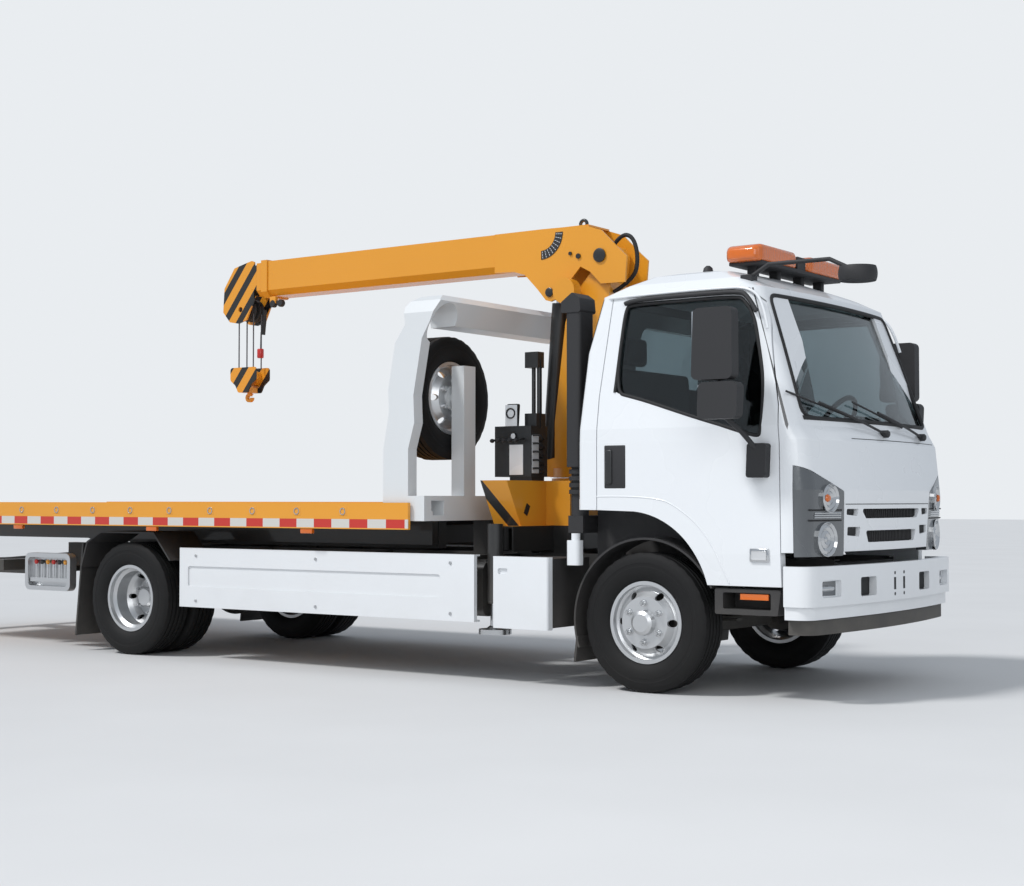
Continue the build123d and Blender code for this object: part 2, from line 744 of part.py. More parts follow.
def front_grille(cabin):
    """Black panel behind the slots, with upright ribs standing in them."""
    panel = cabin & block(700, 1300, -592, 592, 820, FLOOR_TOP - FLOOR_WALL)
    panel -= cab_volume(CAB_WALL + 14) & block(600, 1300, -700, 700, 700, 1200)
    depth = cab_volume(24) - cab_volume(CAB_WALL + 7)
    pitch = 80
    for y in range(-4 * pitch, 4 * pitch + 1, pitch):
        rib = block(900, 1300, y - 6, y + 6, 850, 1060) & depth
        for slot in grille_slots()[:2]:
            panel += rib & slot
    return panel


def headlamps(outer):
    skin = outer - cab_volume(60)
    lamp = skin & along(lamp_face(), LAMP_BACK_X + 3, 1300)
    return both_sides(lamp)


def door(outer):
    """Right door: full-thickness frame with its window cut."""
    leaf = outer & across(door_face(), -1200, -600) & side_slab(DOOR_WALL)
    leaf -= across(arch_cut(), -1200, -700)
    leaf -= across(window_face(), -1200, -700)
    grip = across(outline([(-226, 1166), (-94, 1166), (-94, 1402), (-226, 1402)], 22), -1010, -978)
    return leaf - grip + across(outline([(-218, 1180), (-176, 1180), (-176, 1388), (-218, 1388)], 12), -1000, -978)


def door_glass():
    skin = cab_volume(GLASS_INSET) - cab_volume(GLASS_INSET + GLASS_WALL)
    return skin & across(window_face(), -1200, -700)


def mirror_arm():
    """Door mirror: mount, bent arm, main head and wide-angle head."""
    mount = across(outline([(707, 1215), (820, 1215), (828, 1400), (715, 1400)], 16), -1062, -1000)
    arm = tube([(765, -1050, 1370), (700, -1110, 1470), (640, -1214, 1560), (628, -1216, 2050)], 14)
    main = across(outline([(506, 1735), (752, 1735), (752, 2120), (520, 2120)], 34), -1300, -1222)
    wide = across(outline([(540, 1525), (775, 1525), (785, 1722), (550, 1722)], 34), -1300, -1222)
    return mount + arm + main + wide


def front_mirror():
    """Kerb mirror carried ahead of the windscreen."""
    arm = tube([(590, -775, 2335), (700, -760, 2405), (1060, -750, 2405), (1180, -750, 2345)], 12)
    foot = block(550, 620, -810, -740, 2290, 2350)
    head = Pos(1225, -750, 2312) * Rot(0, 14, 0) * Sphere(105)
    keep = block(1120, FRONT_REACH, -860, -640, 2272, 2352)
    return (arm + foot - cab_volume()) + (head & keep)


def seats():
    """Cushions, backs, plinths and headrests of the driver's seat and the double seat."""
    parts = []
    # Seat centre y, half width
    for y, half in ((560, 240), (-420, 420)):
        parts.append(across(outline([
            (-160, 1172), (340, 1182), (350, 1310), (-170, 1290),
        ], 30), y - half, y + half))
        parts.append(across(outline([
            (-250, 1230), (-175, 1240), (-215, 1880), (-300, 1880),
        ], 30), y - half, y + half))
        parts.append(block(-120, 300, y - half + 30, y + half - 30, FLOOR_TOP, 1172))
    for y in (560, -220, -620):
        parts.append(across(outline([
            (-290, 1881), (-218, 1881), (-226, 2060), (-300, 2060),
        ], 22), y - 110, y + 110))
    return kit(*parts)


def dashboard(cabin):
    """Dash with a binnacle, and the steering wheel on the left."""
    dash = across(outline([
        (620, 1240), (700, 1140), (960, 1110), (1010, 1400), (940, 1500), (760, 1530), (640, 1470),
    ], 30), -935, 935)
    dash &= cab_volume(DOOR_WALL + 8)
    feet = pair(block(800, 900, 600, 700, FLOOR_TOP, 1160) - dash)
    binnacle = across(outline([(600, 1440), (760, 1500), (760, 1600), (660, 1610)], 15), 320, 640) - dash
    lean = Pos(520, 480, 1550) * Rot(0, -58, 0)
    wheel = lean * Torus(205, 16) + lean * Box(30, 400, 16) + lean * Cylinder(60, 30)
    wheel += lean * (Pos(-95, 0, 0) * Box(200, 30, 16)) + tube([(760, 480, 1400), (530, 480, 1545)], 26)
    return kit(dash, feet, binnacle, wheel - dash - binnacle)


def light_bar():
    """Two amber beacon domes on a tray, standing on four feet ahead of the roof's middle."""
    x0, x1 = BEACON_X
    base, top = BEACON_Z
    face = outline([
        (x0, base + 22), (x0 + 28, base), (x1 - 28, base), (x1, base + 22), (x1 - 15, top - 27),
        (x1 - 60, top), (x0 + 60, top), (x0 + 15, top - 27),
    ], 12)
    plan = Pos((x0 + x1) / 2, 0) * RectangleRounded(x1 - x0, 2 * BEACON_HALF, BEACON_ROUND)
    bar = across(face, -BEACON_HALF, BEACON_HALF) & up(plan, base - 1, top + 1)
    bar -= block(x0 - 1, x1 + 1, -60, 60, top - 34, top + 1)
    feet = []
    middle = (x0 + x1) / 2
    for y in (-0.74 * BEACON_HALF, -0.26 * BEACON_HALF, 0.26 * BEACON_HALF, 0.74 * BEACON_HALF):
        feet.append(block(middle - 30, middle + 30, y - 25, y + 25, 2340, base) - cab_volume())
    return kit(bar, *feet)


# Bed


def bed_deck():
    """Floor plate on cross bearers over two sills, between thin side rails tapered at the tail."""
    inner = BED_HALF - BED_RAIL_WALL
    floor_base = BED_FLOOR_TOP - BED_FLOOR_WALL
    sill_rear = BED_REAR + BED_TAPER
    plate = block(BED_REAR, BED_FLOOR_FRONT, -inner, inner, floor_base, BED_FLOOR_TOP)
    rail = across(outline([
        (BED_REAR, BED_RAIL_TOP), (BED_FRONT, BED_RAIL_TOP), (BED_FRONT, BED_RAIL_BASE),
        (sill_rear, BED_RAIL_BASE), (BED_REAR, 985),
    ]), inner, BED_HALF)
    sill = block(sill_rear, BED_FLOOR_FRONT, SILL_IN, SILL_OUT, SILL_BASE, BED_BEAM_BASE)
    ramp = across(outline([
        (BED_REAR, 990), (BED_REAR + 140, 968), (BED_REAR + 140, floor_base), (BED_REAR, floor_base),
    ]), -inner, inner)
    bearers = [block(BED_FLOOR_FRONT - 30, BED_FLOOR_FRONT, -inner, inner, BED_BEAM_BASE, floor_base)]
    count = int((BED_FLOOR_FRONT - sill_rear) / BED_BEAM_PITCH) + 1
    for i in range(1, count):
        x = BED_FLOOR_FRONT - i * BED_BEAM_PITCH
        bearers.append(block(x - 20, x + 20, -inner, inner, BED_BEAM_BASE, floor_base))
    return kit(plate, pair(rail), pair(sill), ramp, *bearers)


# Gantry leg in side view, rear edge going up then front edge going down
LEG_REAR = [
    (-1790, 965), (-1786, 1410), (-1742, 1640), (-1748, 1780), (-1694, 2070), (-1615, 2180), (-1627, 2290),
]
LEG_FRONT = [
    (-1360, 2320), (-1420, 2190), (-1481, 2090), (-1547, 1740), (-1540, 1570), (-1588, 1410), (-1588, 965),
]


def gantry():
    """Portal with swept legs and scalloped arch, its cross beam, posts and spare wheel stub."""
    side = outline(LEG_REAR + [(-1570, ARCH_TOP), (-1404, ARCH_TOP)] + LEG_FRONT)
    shape = both_sides(across(side, -LEG_OUT, LEG_WIDTH - LEG_OUT))
    inner = LEG_OUT - LEG_WIDTH
    scallop = 125
    round_off = 110
    front = outline([
        (-LEG_OUT, 2000), (-LEG_OUT, ARCH_TOP - round_off), (-LEG_OUT + 35, ARCH_TOP - 35),
        (-LEG_OUT + round_off, ARCH_TOP), (LEG_OUT - round_off, ARCH_TOP), (LEG_OUT - 35, ARCH_TOP - 35),
        (LEG_OUT, ARCH_TOP - round_off), (LEG_OUT, 2000), (inner, 2000), (inner, ARCH_BASE),
        (-inner, ARCH_BASE), (-inner, 2000),
    ])
    shape = (shape & block(-2000, -1000, -2000, 2000, 0, 2001)) + (along(front, -1900, -1300) & across(side, -LEG_OUT, LEG_OUT))
    shape -= both_sides(rod_x(-1900, -1300, inner - 50, ARCH_BASE + 5, scallop))
    beam = block(*CROSS_BEAM_X, -LEG_OUT, LEG_OUT, *CROSS_BEAM_Z)
    beam -= both_sides(block(CROSS_BEAM_X[0] - 1, CROSS_BEAM_X[1] + 1, 920, 1045, 1000, 1090))
    foot = both_sides(block(-1790, CROSS_BEAM_X[1], inner, LEG_OUT, CROSS_BEAM_Z[0], CROSS_BEAM_Z[0] + 60))
    posts = both_sides(block(*POST_X, *POST_Y, CROSS_BEAM_Z[1] - 5, POST_TOP))
    x, y, z = SPARE
    stub = rod_x(x + 60, POST_X[0] + 5, y, z, SPINDLE_R)
    plate = rod_x(x + RIM_HALF + 11, x + RIM_HALF + 19, y, z, 80)
    return shape + beam + foot + posts + stub + plate


def spare_place():
    """The spare lies against its post, disc forwards."""
    return Pos(*SPARE) * Rot(0, 0, 90)


def bed_subframe():
    """Ladder that the bed slides on, hinged at the tail of the chassis."""
    px, pz = BED_PIVOT
    beam = across(outline([
        (SUB_FRONT, SUB_BASE), (SUB_FRONT, SUB_TOP), (SUB_REAR, SUB_TOP), (SUB_REAR, SUB_BASE + SUB_TAIL_RISE),
        (px - PIVOT_TUBE_R, SUB_BASE),
    ]), SUB_IN, SUB_OUT)
    pieces = [pair(beam)]
    for x in SUB_MEMBERS:
        pieces.append(block(
            x - SUB_MEMBER_HALF, x + SUB_MEMBER_HALF, -SUB_IN, SUB_IN, SUB_BASE + 30, SUB_TOP - 30))
    # Pivot: a tube between the beams and a stub outside each
    pieces.append(rod_y(px, -SUB_IN, SUB_IN, pz, PIVOT_TUBE_R))
    pieces.append(pair(rod_y(px, SUB_OUT, PIVOT_EAR[1], pz, PIVOT_TUBE_R)))
    # Lugs either side of the tilt cylinders' rod eyes
    x, z = TILT_EYE
    for y in (TILT_Y - 35, TILT_Y + 35):
        pieces.append(pair(block(x - 40, SUB_MEMBERS[2] - SUB_MEMBER_HALF, y - 5, y + 5, z - 40, z + 40)))
    # Tail member with the hangers of the wheel lift
    x, z = UNDERLIFT_PIVOT
    tail = block(x + 30, x + 110, -SUB_IN, SUB_IN, SUB_BASE + 40, SUB_TOP - 15)
    hanger = across(outline([
        (x - 55, z - 55), (x + 45, z - 55), (x + 110, SUB_BASE + 20), (x + 110, SUB_BASE + 140),
        (x - 20, SUB_BASE + 140),
    ], 12), 105, 130)
    hanger -= rod_y(x, 95, 140, z, UNDERLIFT_PIN_R + PIVOT_GAP)
    pieces += [tail, pair(hanger - tail)]
    return kit(*pieces)


def along_line(foot, eye, y, start, end, radius):
    """A round bar on the line from foot to eye in side view, between two distances."""
    run = Vector(eye[0] - foot[0], 0, eye[1] - foot[1]).normalized()
    origin = Vector(foot[0], y, foot[1]) + run * start
    plane = Plane(origin=origin, z_dir=run)
    return extrude(plane * Circle(radius), amount=end - start)


def tilt_length():
    return math.dist(TILT_FOOT, TILT_EYE)


def tilt_barrels():
    length = tilt_length() - 170
    barrel = along_line(TILT_FOOT, TILT_EYE, TILT_Y, 0, length, TILT_BARREL_R)
    barrel -= along_line(TILT_FOOT, TILT_EYE, TILT_Y, 60, length + 1, TILT_ROD_R + 3)
    barrel += rod_y(TILT_FOOT[0], TILT_Y - 35, TILT_Y + 35, TILT_FOOT[1], 48)
    barrel -= rod_y(TILT_FOOT[0], TILT_Y - 60, TILT_Y + 60, TILT_FOOT[1], TILT_PIN_R + PIVOT_GAP)
    return both_sides(barrel)


def tilt_rods():
    length = tilt_length()
    rod = along_line(TILT_FOOT, TILT_EYE, TILT_Y, 260, length - 20, TILT_ROD_R)
    rod += rod_y(TILT_EYE[0], TILT_Y - 23, TILT_Y + 23, TILT_EYE[1], 32)
    return both_sides(rod)


def underlift():
    """Wheel lift under the tail: arm, sliding sleeve, cross bar with upright bores."""
    x, z = UNDERLIFT_PIVOT
    arm = across(outline([
        (x + 40, z - 42), (x + 40, z + 42), (x - 60, z + 62), (-7080, 588), (-7080, 470), (x - 60, z - 78),
    ], 10), -85, 85)
    arm -= rod_y(x, -100, 100, z, 8)
    pin = rod_y(x, -133, 133, z, UNDERLIFT_PIN_R)
    sleeve = block(-6900, -6450, -98, 98, 478, 606)
    bar = block(-REAR_REACH, -7075, -560, 560, 490, 590)
    bar = fillet(bar.edges().filter_by(Axis.Y), 14)
    bar -= both_sides(rod_z(-7138, UNDERLIFT_BORE_Y, 400, 700, UNDERLIFT_BORE_R))
    return arm + pin + sleeve + bar


# Crane


def crane_base():
    """Outrigger housing across the rails, flared yellow base and slewing ring."""
    housing = block(-1140, -972, -HOUSING_HALF, HOUSING_HALF, HOUSING_BASE, BASE_BOTTOM)
    for x0, x1 in ((-1129, -1060), (-1052, -983)):
        housing -= block(x0, x1, -HOUSING_HALF - 1, HOUSING_HALF + 1, HOUSING_BASE + 10, BASE_BOTTOM - 12)
    flare = along(outline([(-700, BASE_BOTTOM), (700, BASE_BOTTOM), (850, BASE_RIM), (-850, BASE_RIM)]), -1230, -1030)
    middle = block(-1250, -850, -420, 420, BASE_BOTTOM, BASE_RIM)
    flare -= both_sides(along(outline([(560, 1040), (600, 1090), (640, 1040), (600, 990)], 8), -1231, -1205))
    flare += middle
    ring = rod_z(SLEW_X, 0, BASE_RIM, BASE_TOP, 185)
    rests = [pair(block(x0, x1, 340, RAIL_OUT, RAIL_TOP, BASE_BOTTOM)) for x0, x1 in ((-1250, -1140), (-972, -850))]
    return kit(housing, flare, ring, *rests)


def valve_bank():
    """Control valve with its lever row, gauge plate and hose tower."""
    body = block(-1330, -1050, -560, -380, 1240, 1560) + block(-1228, -1060, -540, -400, 1215, 1240)
    plate = across(outline([(-1250, 1550), (-1160, 1550), (-1150, 1700), (-1235, 1700)], 10), -558, -536)
    levers = [tube([(-1290 + 46 * i, -556, 1480), (-1290 + 46 * i, -640, 1466)], 7) for i in range(5)]
    tower = rod_z(-1105, -450, 1550, 1985, 13) + rod_z(-1062, -450, 1550, 1985, 16)
    head = block(-1150, -1050, -485, -415, 1930, 2030)
    manifold = block(-1140, -1050, -500, -400, 1555, 1640)
    return body + plate + levers + tower + head + manifold


def crane_column():
    """Leaning column with the cylinder's foot and the boom's head bearing."""
    px, pz = BOOM_PIVOT
    side = outline([
        (-1185, 1290), (-1185, 1600), (-1100, 2250), (-1040, 2420), (-905, 2560), (-860, 2720),
        (-760, 2730), (-720, 2660), (-735, 2560), (-790, 2300), (-860, 1290),
    ], 18)
    column = across(side, -COLUMN_HALF, COLUMN_HALF)
    column -= across(outline([(-1100, 1660), (-900, 1660), (-880, 2200), (-1010, 2200)], 40), -COLUMN_HALF - 1, -COLUMN_HALF + 14)
    column -= across(outline([(-1100, 1660), (-900, 1660), (-880, 2200), (-1010, 2200)], 40), COLUMN_HALF - 14, COLUMN_HALF + 1)
    foot = rod_z(SLEW_X, 0, BASE_TOP + 5, 1300, 175)
    fx, fz = BARREL_FOOT
    cheek = across(outline([(fx - 50, fz - 55), (-1100, fz - 55), (-1100, fz + 90), (fx - 50, fz + 40)], 12), 62, 82)
    pin = rod_y(fx, -90, 90, fz, 22)
    boss = rod_y(px, -COLUMN_HALF - 20, COLUMN_HALF + 20, pz, 62)
    pivot = rod_y(px, -150, 150, pz, 29)
    wx, wz = WINCH
    winch = rod_y(wx, -160, 160, wz, 38) + both_sides(rod_y(wx, 155, 240, wz, 82))
    return column + foot + both_sides(cheek) + pin + boss + pivot + winch


def lift_length():
    return math.dist(BARREL_FOOT, ROD_EYE)


def lift_barrel():
    length = lift_length() - 62
    barrel = along_line(BARREL_FOOT, ROD_EYE, 0, 0, length, BARREL_R)
    barrel -= along_line(BARREL_FOOT, ROD_EYE, 0, 120, length + 1, BARREL_BORE)
    barrel += rod_y(BARREL_FOOT[0], -55, 55, BARREL_FOOT[1], 50)
    barrel -= rod_y(BARREL_FOOT[0], -60, 60, BARREL_FOOT[1], 23)
    return barrel


def lift_rod():
    length = lift_length()
    rod = along_line(BARREL_FOOT, ROD_EYE, 0, 180, length, ROD_R)
    rod += along_line(BARREL_FOOT, ROD_EYE, 0, 180, 230, BARREL_BORE - 0.5)
    rod += rod_y(ROD_EYE[0], -38, 38, ROD_EYE[1], 46)
    return rod


def boom_profile(step):
    """Hexagonal-shouldered boom section, drawn in by a step."""
    half = BOOM_HALF - step
    low = BOOM_BASE + step
    high = BOOM_TOP - step
    cut = 42
    return outline([
        (-half, low + cut), (-half + cut, low), (half - cut, low), (half, low + cut),
        (half, high), (-half, high),
    ])


def boom_tube(step, x0, x1):
    wall = BOOM_WALL
    return along(boom_profile(step), x0, x1) - along(boom_profile(step + wall), x0 - 1, x1 + 1)


BOOM_ROOT = [
    (-1640, 2612), (-1480, 2606), (-1393, 2580), (-1291, 2476), (-1225, 2400), (-1185, 2389), (-1140, 2405),
    (-955, 2600), (-880, 2560), (-800, 2478), (-619, 2475), (-605, 2640), (-661, 2690), (-795, 2822),
    (-931, 2868), (-1018, 2866), (-1250, 2870), (-1640, 2870),
]


def boom_outer():
    """First boom section with its gusseted root and lifting-eye."""
    box_start = -1262
    boom = boom_tube(0, BOOM_FRONT, box_start)
    plate = across(outline(BOOM_ROOT), BOOM_HALF - 1, BOOM_HALF + PLATE_WALL)
    px, pz = BOOM_PIVOT
    plate -= rod_y(px, 100, 200, pz, 30)
    boss = rod_y(ROD_EYE[0], 46, BOOM_HALF + 5, ROD_EYE[1], 44)
    boom += both_sides(plate + boss)
    boom += block(box_start - 5, -900, -BOOM_HALF, BOOM_HALF, BOOM_TOP - 12, BOOM_TOP)
    eye = across(Pos(-1018, 2900) * (Circle(30) - Circle(16)), -8, 8)
    boom += eye + block(-1042, -994, -8, 8, 2862, 2884)
    collar = along(boom_profile(-10), BOOM_FRONT, BOOM_FRONT + 60) - along(boom_profile(BOOM_WALL), -9000, 0)
    return boom + collar


def boom_mid():
    step = BOOM_WALL + SECTION_GAP
    boom = boom_tube(step, BOOM_FRONT - 60, -1400)
    collar = along(boom_profile(step - 8), BOOM_FRONT - 60, BOOM_FRONT - 12) - along(boom_profile(step + BOOM_WALL), -9000, 0)
    return boom + collar


def boom_tip():
    """Inner section with the striped head and its sheave cheeks."""
    step = 2 * (BOOM_WALL + SECTION_GAP)
    boom = boom_tube(step, BOOM_FRONT - 130, -1450)
    collar = along(boom_profile(step - 10), BOOM_FRONT - 130, BOOM_FRONT - 72) - along(boom_profile(step + BOOM_WALL), -9000, 0)
    side = outline([
        (-3925, 2890), (-4105, 2848), (-4210, 2700), (-4222, 2520), (-4150, 2440), (-4060, 2425),
        (-3975, 2450), (-3900, 2600), (-3900, 2880),
    ], 10)
    cheek = across(side, 92, 106)
    cheek -= rod_y(SHEAVE[0], 80, 120, SHEAVE[1], 21)
    web = block(-4000, -3905, -95, 95, 2700, 2850) + block(-4180, -4160, -95, 95, 2560, 2700)
    return boom + collar + both_sides(cheek) + web


def head_sheave():
    """Grooved sheaves on the head pin."""
    shape = rod_y(SHEAVE[0], -90, 90, SHEAVE[1], 20)
    wheel = turned([
        (-24, 18), (-24, SHEAVE_R), (-16, SHEAVE_R), (-7, SHEAVE_R - 14), (7, SHEAVE_R - 14),
        (16, SHEAVE_R), (24, SHEAVE_R), (24, 18),
    ])
    for y in (-42, 42):
        shape += Pos(SHEAVE[0], y, SHEAVE[1]) * wheel
    return shape


def hoist_ropes():
    """Four falls of wire rope from the head sheaves to the hook block."""
    reach = SHEAVE_R - 10
    falls = []
    for y in (-42, 42):
        for sign in (-1, 1):
            falls.append(rod_z(SHEAVE[0] + sign * reach, y, HOOK_TOP - 30, SHEAVE[1] - 30, 5))
    return Part() + falls


def hook_block():
    """Striped cheeks round two sheaves, with the hook below."""
    side = outline([
        (-4172, 2095), (-4172, 2000), (-4120, 1960), (-4090, 1905), (-3990, 1905), (-3960, 1960),
        (-3905, 2000), (-3905, 2095),
    ], 22)
    cheeks = both_sides(across(side, 66, 76))
    core = rod_y(SHEAVE[0], -70, 70, 2020, 22)
    for y in (-42, 42):
        core += rod_y(SHEAVE[0], y - 20, y + 20, 2020, 60)
    yoke = block(-4075, -4005, -70, 70, 1905, 1945)
    shank = rod_z(SHEAVE[0], 0, 1880, 1940, 20)
    hook = across(Pos(SHEAVE[0], 1868) * (Circle(34) - Circle(16)), -14, 14)
    hook -= block(SHEAVE[0] + 5, SHEAVE[0] + 60, -20, 20, 1868, 1890)
    return cheeks + core + yoke + shank + hook


# Outriggers: right beam behind, left beam ahead, in one housing


def outrigger_beam(x0, x1):
    """Sliding beam with the leg's tube at its end (right side)."""
    beam = block(x0, x1, -HOUSING_HALF - 30, 240, HOUSING_BASE + 16, BASE_BOTTOM - 18)
    beam -= block(x0 + 8, x1 - 8, -HOUSING_HALF + 60, 241, HOUSING_BASE + 24, BASE_BOTTOM - 26)
    tube_leg = rod_z(LEG_X, -LEG_Y, 470, 950, LEG_TUBE_R) - rod_z(LEG_X, -LEG_Y, 460, 930, LEG_BORE)
    head = block(-1110, -1000, -LEG_Y + 30, -HOUSING_HALF - 8, HOUSING_BASE + 10, BASE_BOTTOM - 10)
    head -= rod_z(LEG_X, -LEG_Y, 460, 930, LEG_BORE)
    return beam + tube_leg + head


def outrigger_leg():
    """Jack ram with its swivel foot (right side)."""
    ram = rod_z(LEG_X, -LEG_Y, FOOT_TOP - 5, 915, LEG_RAM_R)
    foot = Pos(LEG_X, -LEG_Y, (FOOT_BASE + FOOT_TOP - 10) / 2) * Cylinder(FOOT_R, FOOT_TOP - 10 - FOOT_BASE)
    cone = Pos(LEG_X, -LEG_Y, FOOT_TOP) * Cone(60, 34, 20)
    return ram + foot + cone


def build_chassis():
    write("chassis_frame", chassis_frame())
    write("front_axle", front_axle())
    write("rear_axle", rear_axle())
    write("powertrain", powertrain())
    write("front_bumper", front_bumper())
    write("side_boxes", side_boxes())
    write("fuel_tank", fuel_tank())
    write("battery_boxes", battery_boxes())
    write("mudguards", mudguards())
    write("lever_station", lever_station())
    write("tail_lamps", tail_lamps())
    write("snorkel", snorkel())
    write("knuckle_right", knuckle())
    write("knuckle_left", other_side(knuckle()))
    write("underlift", underlift())


def build_cab():
    outer = cab_volume()
    cabin = cab_volume(CAB_WALL)
    write("cab_shell", cab_shell(outer, cabin))
    write("cab_glass", cab_glass())
    write("front_grille", front_grille(cabin))
    write("headlamps", headlamps(outer))
    write("seats", seats())
    write("dashboard", dashboard(cabin))
    write("light_bar", light_bar())
    write("front_mirror", front_mirror())
    right = {"door": door(outer), "door_glass": door_glass(), "mirror": mirror_arm()}
    for name, shape in right.items():
        write(name + "_right", shape)
        write(name + "_left", other_side(shape))


def build_bed():
    write("bed_deck", bed_deck())
    write("gantry", gantry())
    write("spare_tyre", spare_place() * tyre_ring())
    write("spare_rim", spare_place() * front_rim(capped=False))
    write("bed_subframe", bed_subframe())
    write("tilt_barrels", tilt_barrels())
    write("tilt_rods", tilt_rods())


def build_crane():
    write("crane_base", crane_base())
    write("valve_bank", valve_bank())
    write("crane_column", crane_column())
    write("lift_barrel", lift_barrel())
    write("lift_rod", lift_rod())
    write("boom_outer", boom_outer())
    write("boom_mid", boom_mid())
    write("boom_tip", boom_tip())
    write("head_sheave", head_sheave())
    write("hoist_ropes", hoist_ropes())
    write("hook_block", hook_block())
    right = outrigger_beam(-1123, -1066)
    left = outrigger_beam(-1046, -989)
    write("outrigger_beam_right", right)
    write("outrigger_beam_left", other_side(left))
    write("outrigger_leg_right", outrigger_leg())
    write("outrigger_leg_left", other_side(outrigger_leg()))


place_wheels()
build_chassis()
build_cab()
build_bed()
build_crane()
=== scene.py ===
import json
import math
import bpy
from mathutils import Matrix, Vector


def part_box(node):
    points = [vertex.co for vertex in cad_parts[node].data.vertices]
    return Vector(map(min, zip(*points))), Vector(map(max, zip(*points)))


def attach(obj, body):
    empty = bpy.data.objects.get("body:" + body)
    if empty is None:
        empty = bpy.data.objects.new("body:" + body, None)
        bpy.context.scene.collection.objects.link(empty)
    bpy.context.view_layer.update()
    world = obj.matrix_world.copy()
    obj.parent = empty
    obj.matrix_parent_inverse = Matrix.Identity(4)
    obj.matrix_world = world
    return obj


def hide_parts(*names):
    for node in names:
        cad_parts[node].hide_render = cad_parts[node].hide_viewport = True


bl_info = {
    "name": "Recovery Truck Dressing",
    "version": (1, 0, 0),
    "blender": (4, 5, 0),
    "location": "View3D > Sidebar > Truck",
    "description": "Finishes, tyres, lamps, trim and fittings of a flatbed recovery truck",
    "category": "Object",
}

import bpy
from mathutils import Matrix, Vector

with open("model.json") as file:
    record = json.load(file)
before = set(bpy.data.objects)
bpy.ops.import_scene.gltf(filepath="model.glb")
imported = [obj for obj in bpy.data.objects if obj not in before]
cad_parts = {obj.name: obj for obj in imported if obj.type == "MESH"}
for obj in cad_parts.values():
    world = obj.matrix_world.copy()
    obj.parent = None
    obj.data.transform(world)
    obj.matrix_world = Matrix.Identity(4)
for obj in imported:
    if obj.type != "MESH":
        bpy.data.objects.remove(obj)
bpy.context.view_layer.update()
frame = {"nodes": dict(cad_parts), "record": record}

# Places are given from the front axle on the ground: X forward, Y left, Z up
FRONT_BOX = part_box("tyre_front_right")
REAR_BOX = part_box("tyres_rear_right")
SPARE_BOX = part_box("spare_tyre")
AXLE_X = (FRONT_BOX[0].x + FRONT_BOX[1].x) / 2
REAR_X = (REAR_BOX[0].x + REAR_BOX[1].x) / 2 - AXLE_X
TYRE_R = (FRONT_BOX[1].z - FRONT_BOX[0].z) / 2
TWIN_HALF = 0.1315
FRONT_Y = -(FRONT_BOX[0].y + FRONT_BOX[1].y) / 2
REAR_Y = -(REAR_BOX[0].y + REAR_BOX[1].y) / 2
SIDES = (("right", -1), ("left", 1))
BOLT_CIRCLE_R = 0.22225 / 2
WHEEL_NUTS = 6
BELT_Z = 1.50
DOOR_FACE_Y = 1.0
GUARD_FACE_Y = 1.0605
RAIL_FACE_Y = 1.1515
DECK_TOP_Z = 1.0295
CRANE_HOUSING_Z = 0.935
BOOM_HEAD_X = -3.86
SCALE_FACE_Y = 0.1405
# Windscreen seal: foot and top, as half width and height
SCREEN_FOOT = (0.862, 1.540)
SCREEN_TOP = (0.785, 2.232)
# Pitches of the tie rings and of the deck's ribs
RING_PITCH = 0.395
RIB_PITCH = 0.205
CAMERA_PLACE = (4.852, -9.033, 1.098)
CAMERA_TURN = math.radians(35.52)
CAMERA_RISE = math.radians(1.955)
CAMERA_LENS = 58.07


def at(x, y, z):
    """A point given from the front axle, in the truck's frame."""
    return Vector((x + AXLE_X, y, z))


# Settings that a user may change


COLOUR = {"subtype": "COLOR", "size": 3, "min": 0, "max": 1}


class FinishSettings(bpy.types.PropertyGroup):
    white: bpy.props.FloatVectorProperty(name="Cab white", default=(0.80, 0.82, 0.84),
        description="Colour of the cab, gantry and side boxes", **COLOUR)
    yellow: bpy.props.FloatVectorProperty(name="Bed yellow", default=(0.80, 0.335, 0.020),
        description="Colour of the bed and crane", **COLOUR)
    black: bpy.props.FloatVectorProperty(name="Chassis black", default=(0.016, 0.017, 0.018),
        description="Colour of painted black steel", **COLOUR)
    silver: bpy.props.FloatVectorProperty(name="Wheel silver", default=(0.66, 0.67, 0.68),
        description="Colour of the wheel rims", **COLOUR)
    amber: bpy.props.FloatVectorProperty(name="Beacon amber", default=(0.95, 0.20, 0.01),
        description="Colour of the roof beacons", **COLOUR)
    dust: bpy.props.FloatProperty(name="Road dust",
        description="How strongly the lower parts are dusted", subtype="FACTOR", default=0.35, min=0,
        max=1)


class TyreSettings(bpy.types.PropertyGroup):
    grooves: bpy.props.IntProperty(name="Tread grooves", description="Grooves round each tyre",
        default=4, min=2, max=6)
    groove_depth: bpy.props.FloatProperty(name="Groove depth", description="Depth of the tread",
        unit="LENGTH", default=0.011, min=0.004, max=0.02)
    steps: bpy.props.IntProperty(name="Turns", description="Steps round each tyre", default=96, min=32,
        max=160)


class StripeSettings(bpy.types.PropertyGroup):
    tape_pitch: bpy.props.FloatProperty(name="Tape pitch",
        description="Length of one red and one white field", unit="LENGTH", default=0.30, min=0.1,
        max=1.0)
    hazard_pitch: bpy.props.FloatProperty(name="Hazard pitch",
        description="Width of one black and one yellow bar", unit="LENGTH", default=0.155, min=0.04,
        max=0.5)


class StageSettings(bpy.types.PropertyGroup):
    floor_size: bpy.props.FloatProperty(name="Floor size", description="Width of the studio floor",
        unit="LENGTH", default=160, min=20, max=400)
    key_strength: bpy.props.FloatProperty(name="Sun strength",
        description="Strength of the main soft light", default=2.1, min=0, max=20)


def settings(kind):
    return getattr(bpy.context.scene, "truck_" + kind)


# Modelling helpers


def deselect():
    if bpy.context.object and bpy.context.object.mode != "OBJECT":
        bpy.ops.object.mode_set(mode="OBJECT")
    bpy.ops.object.select_all(action="DESELECT")


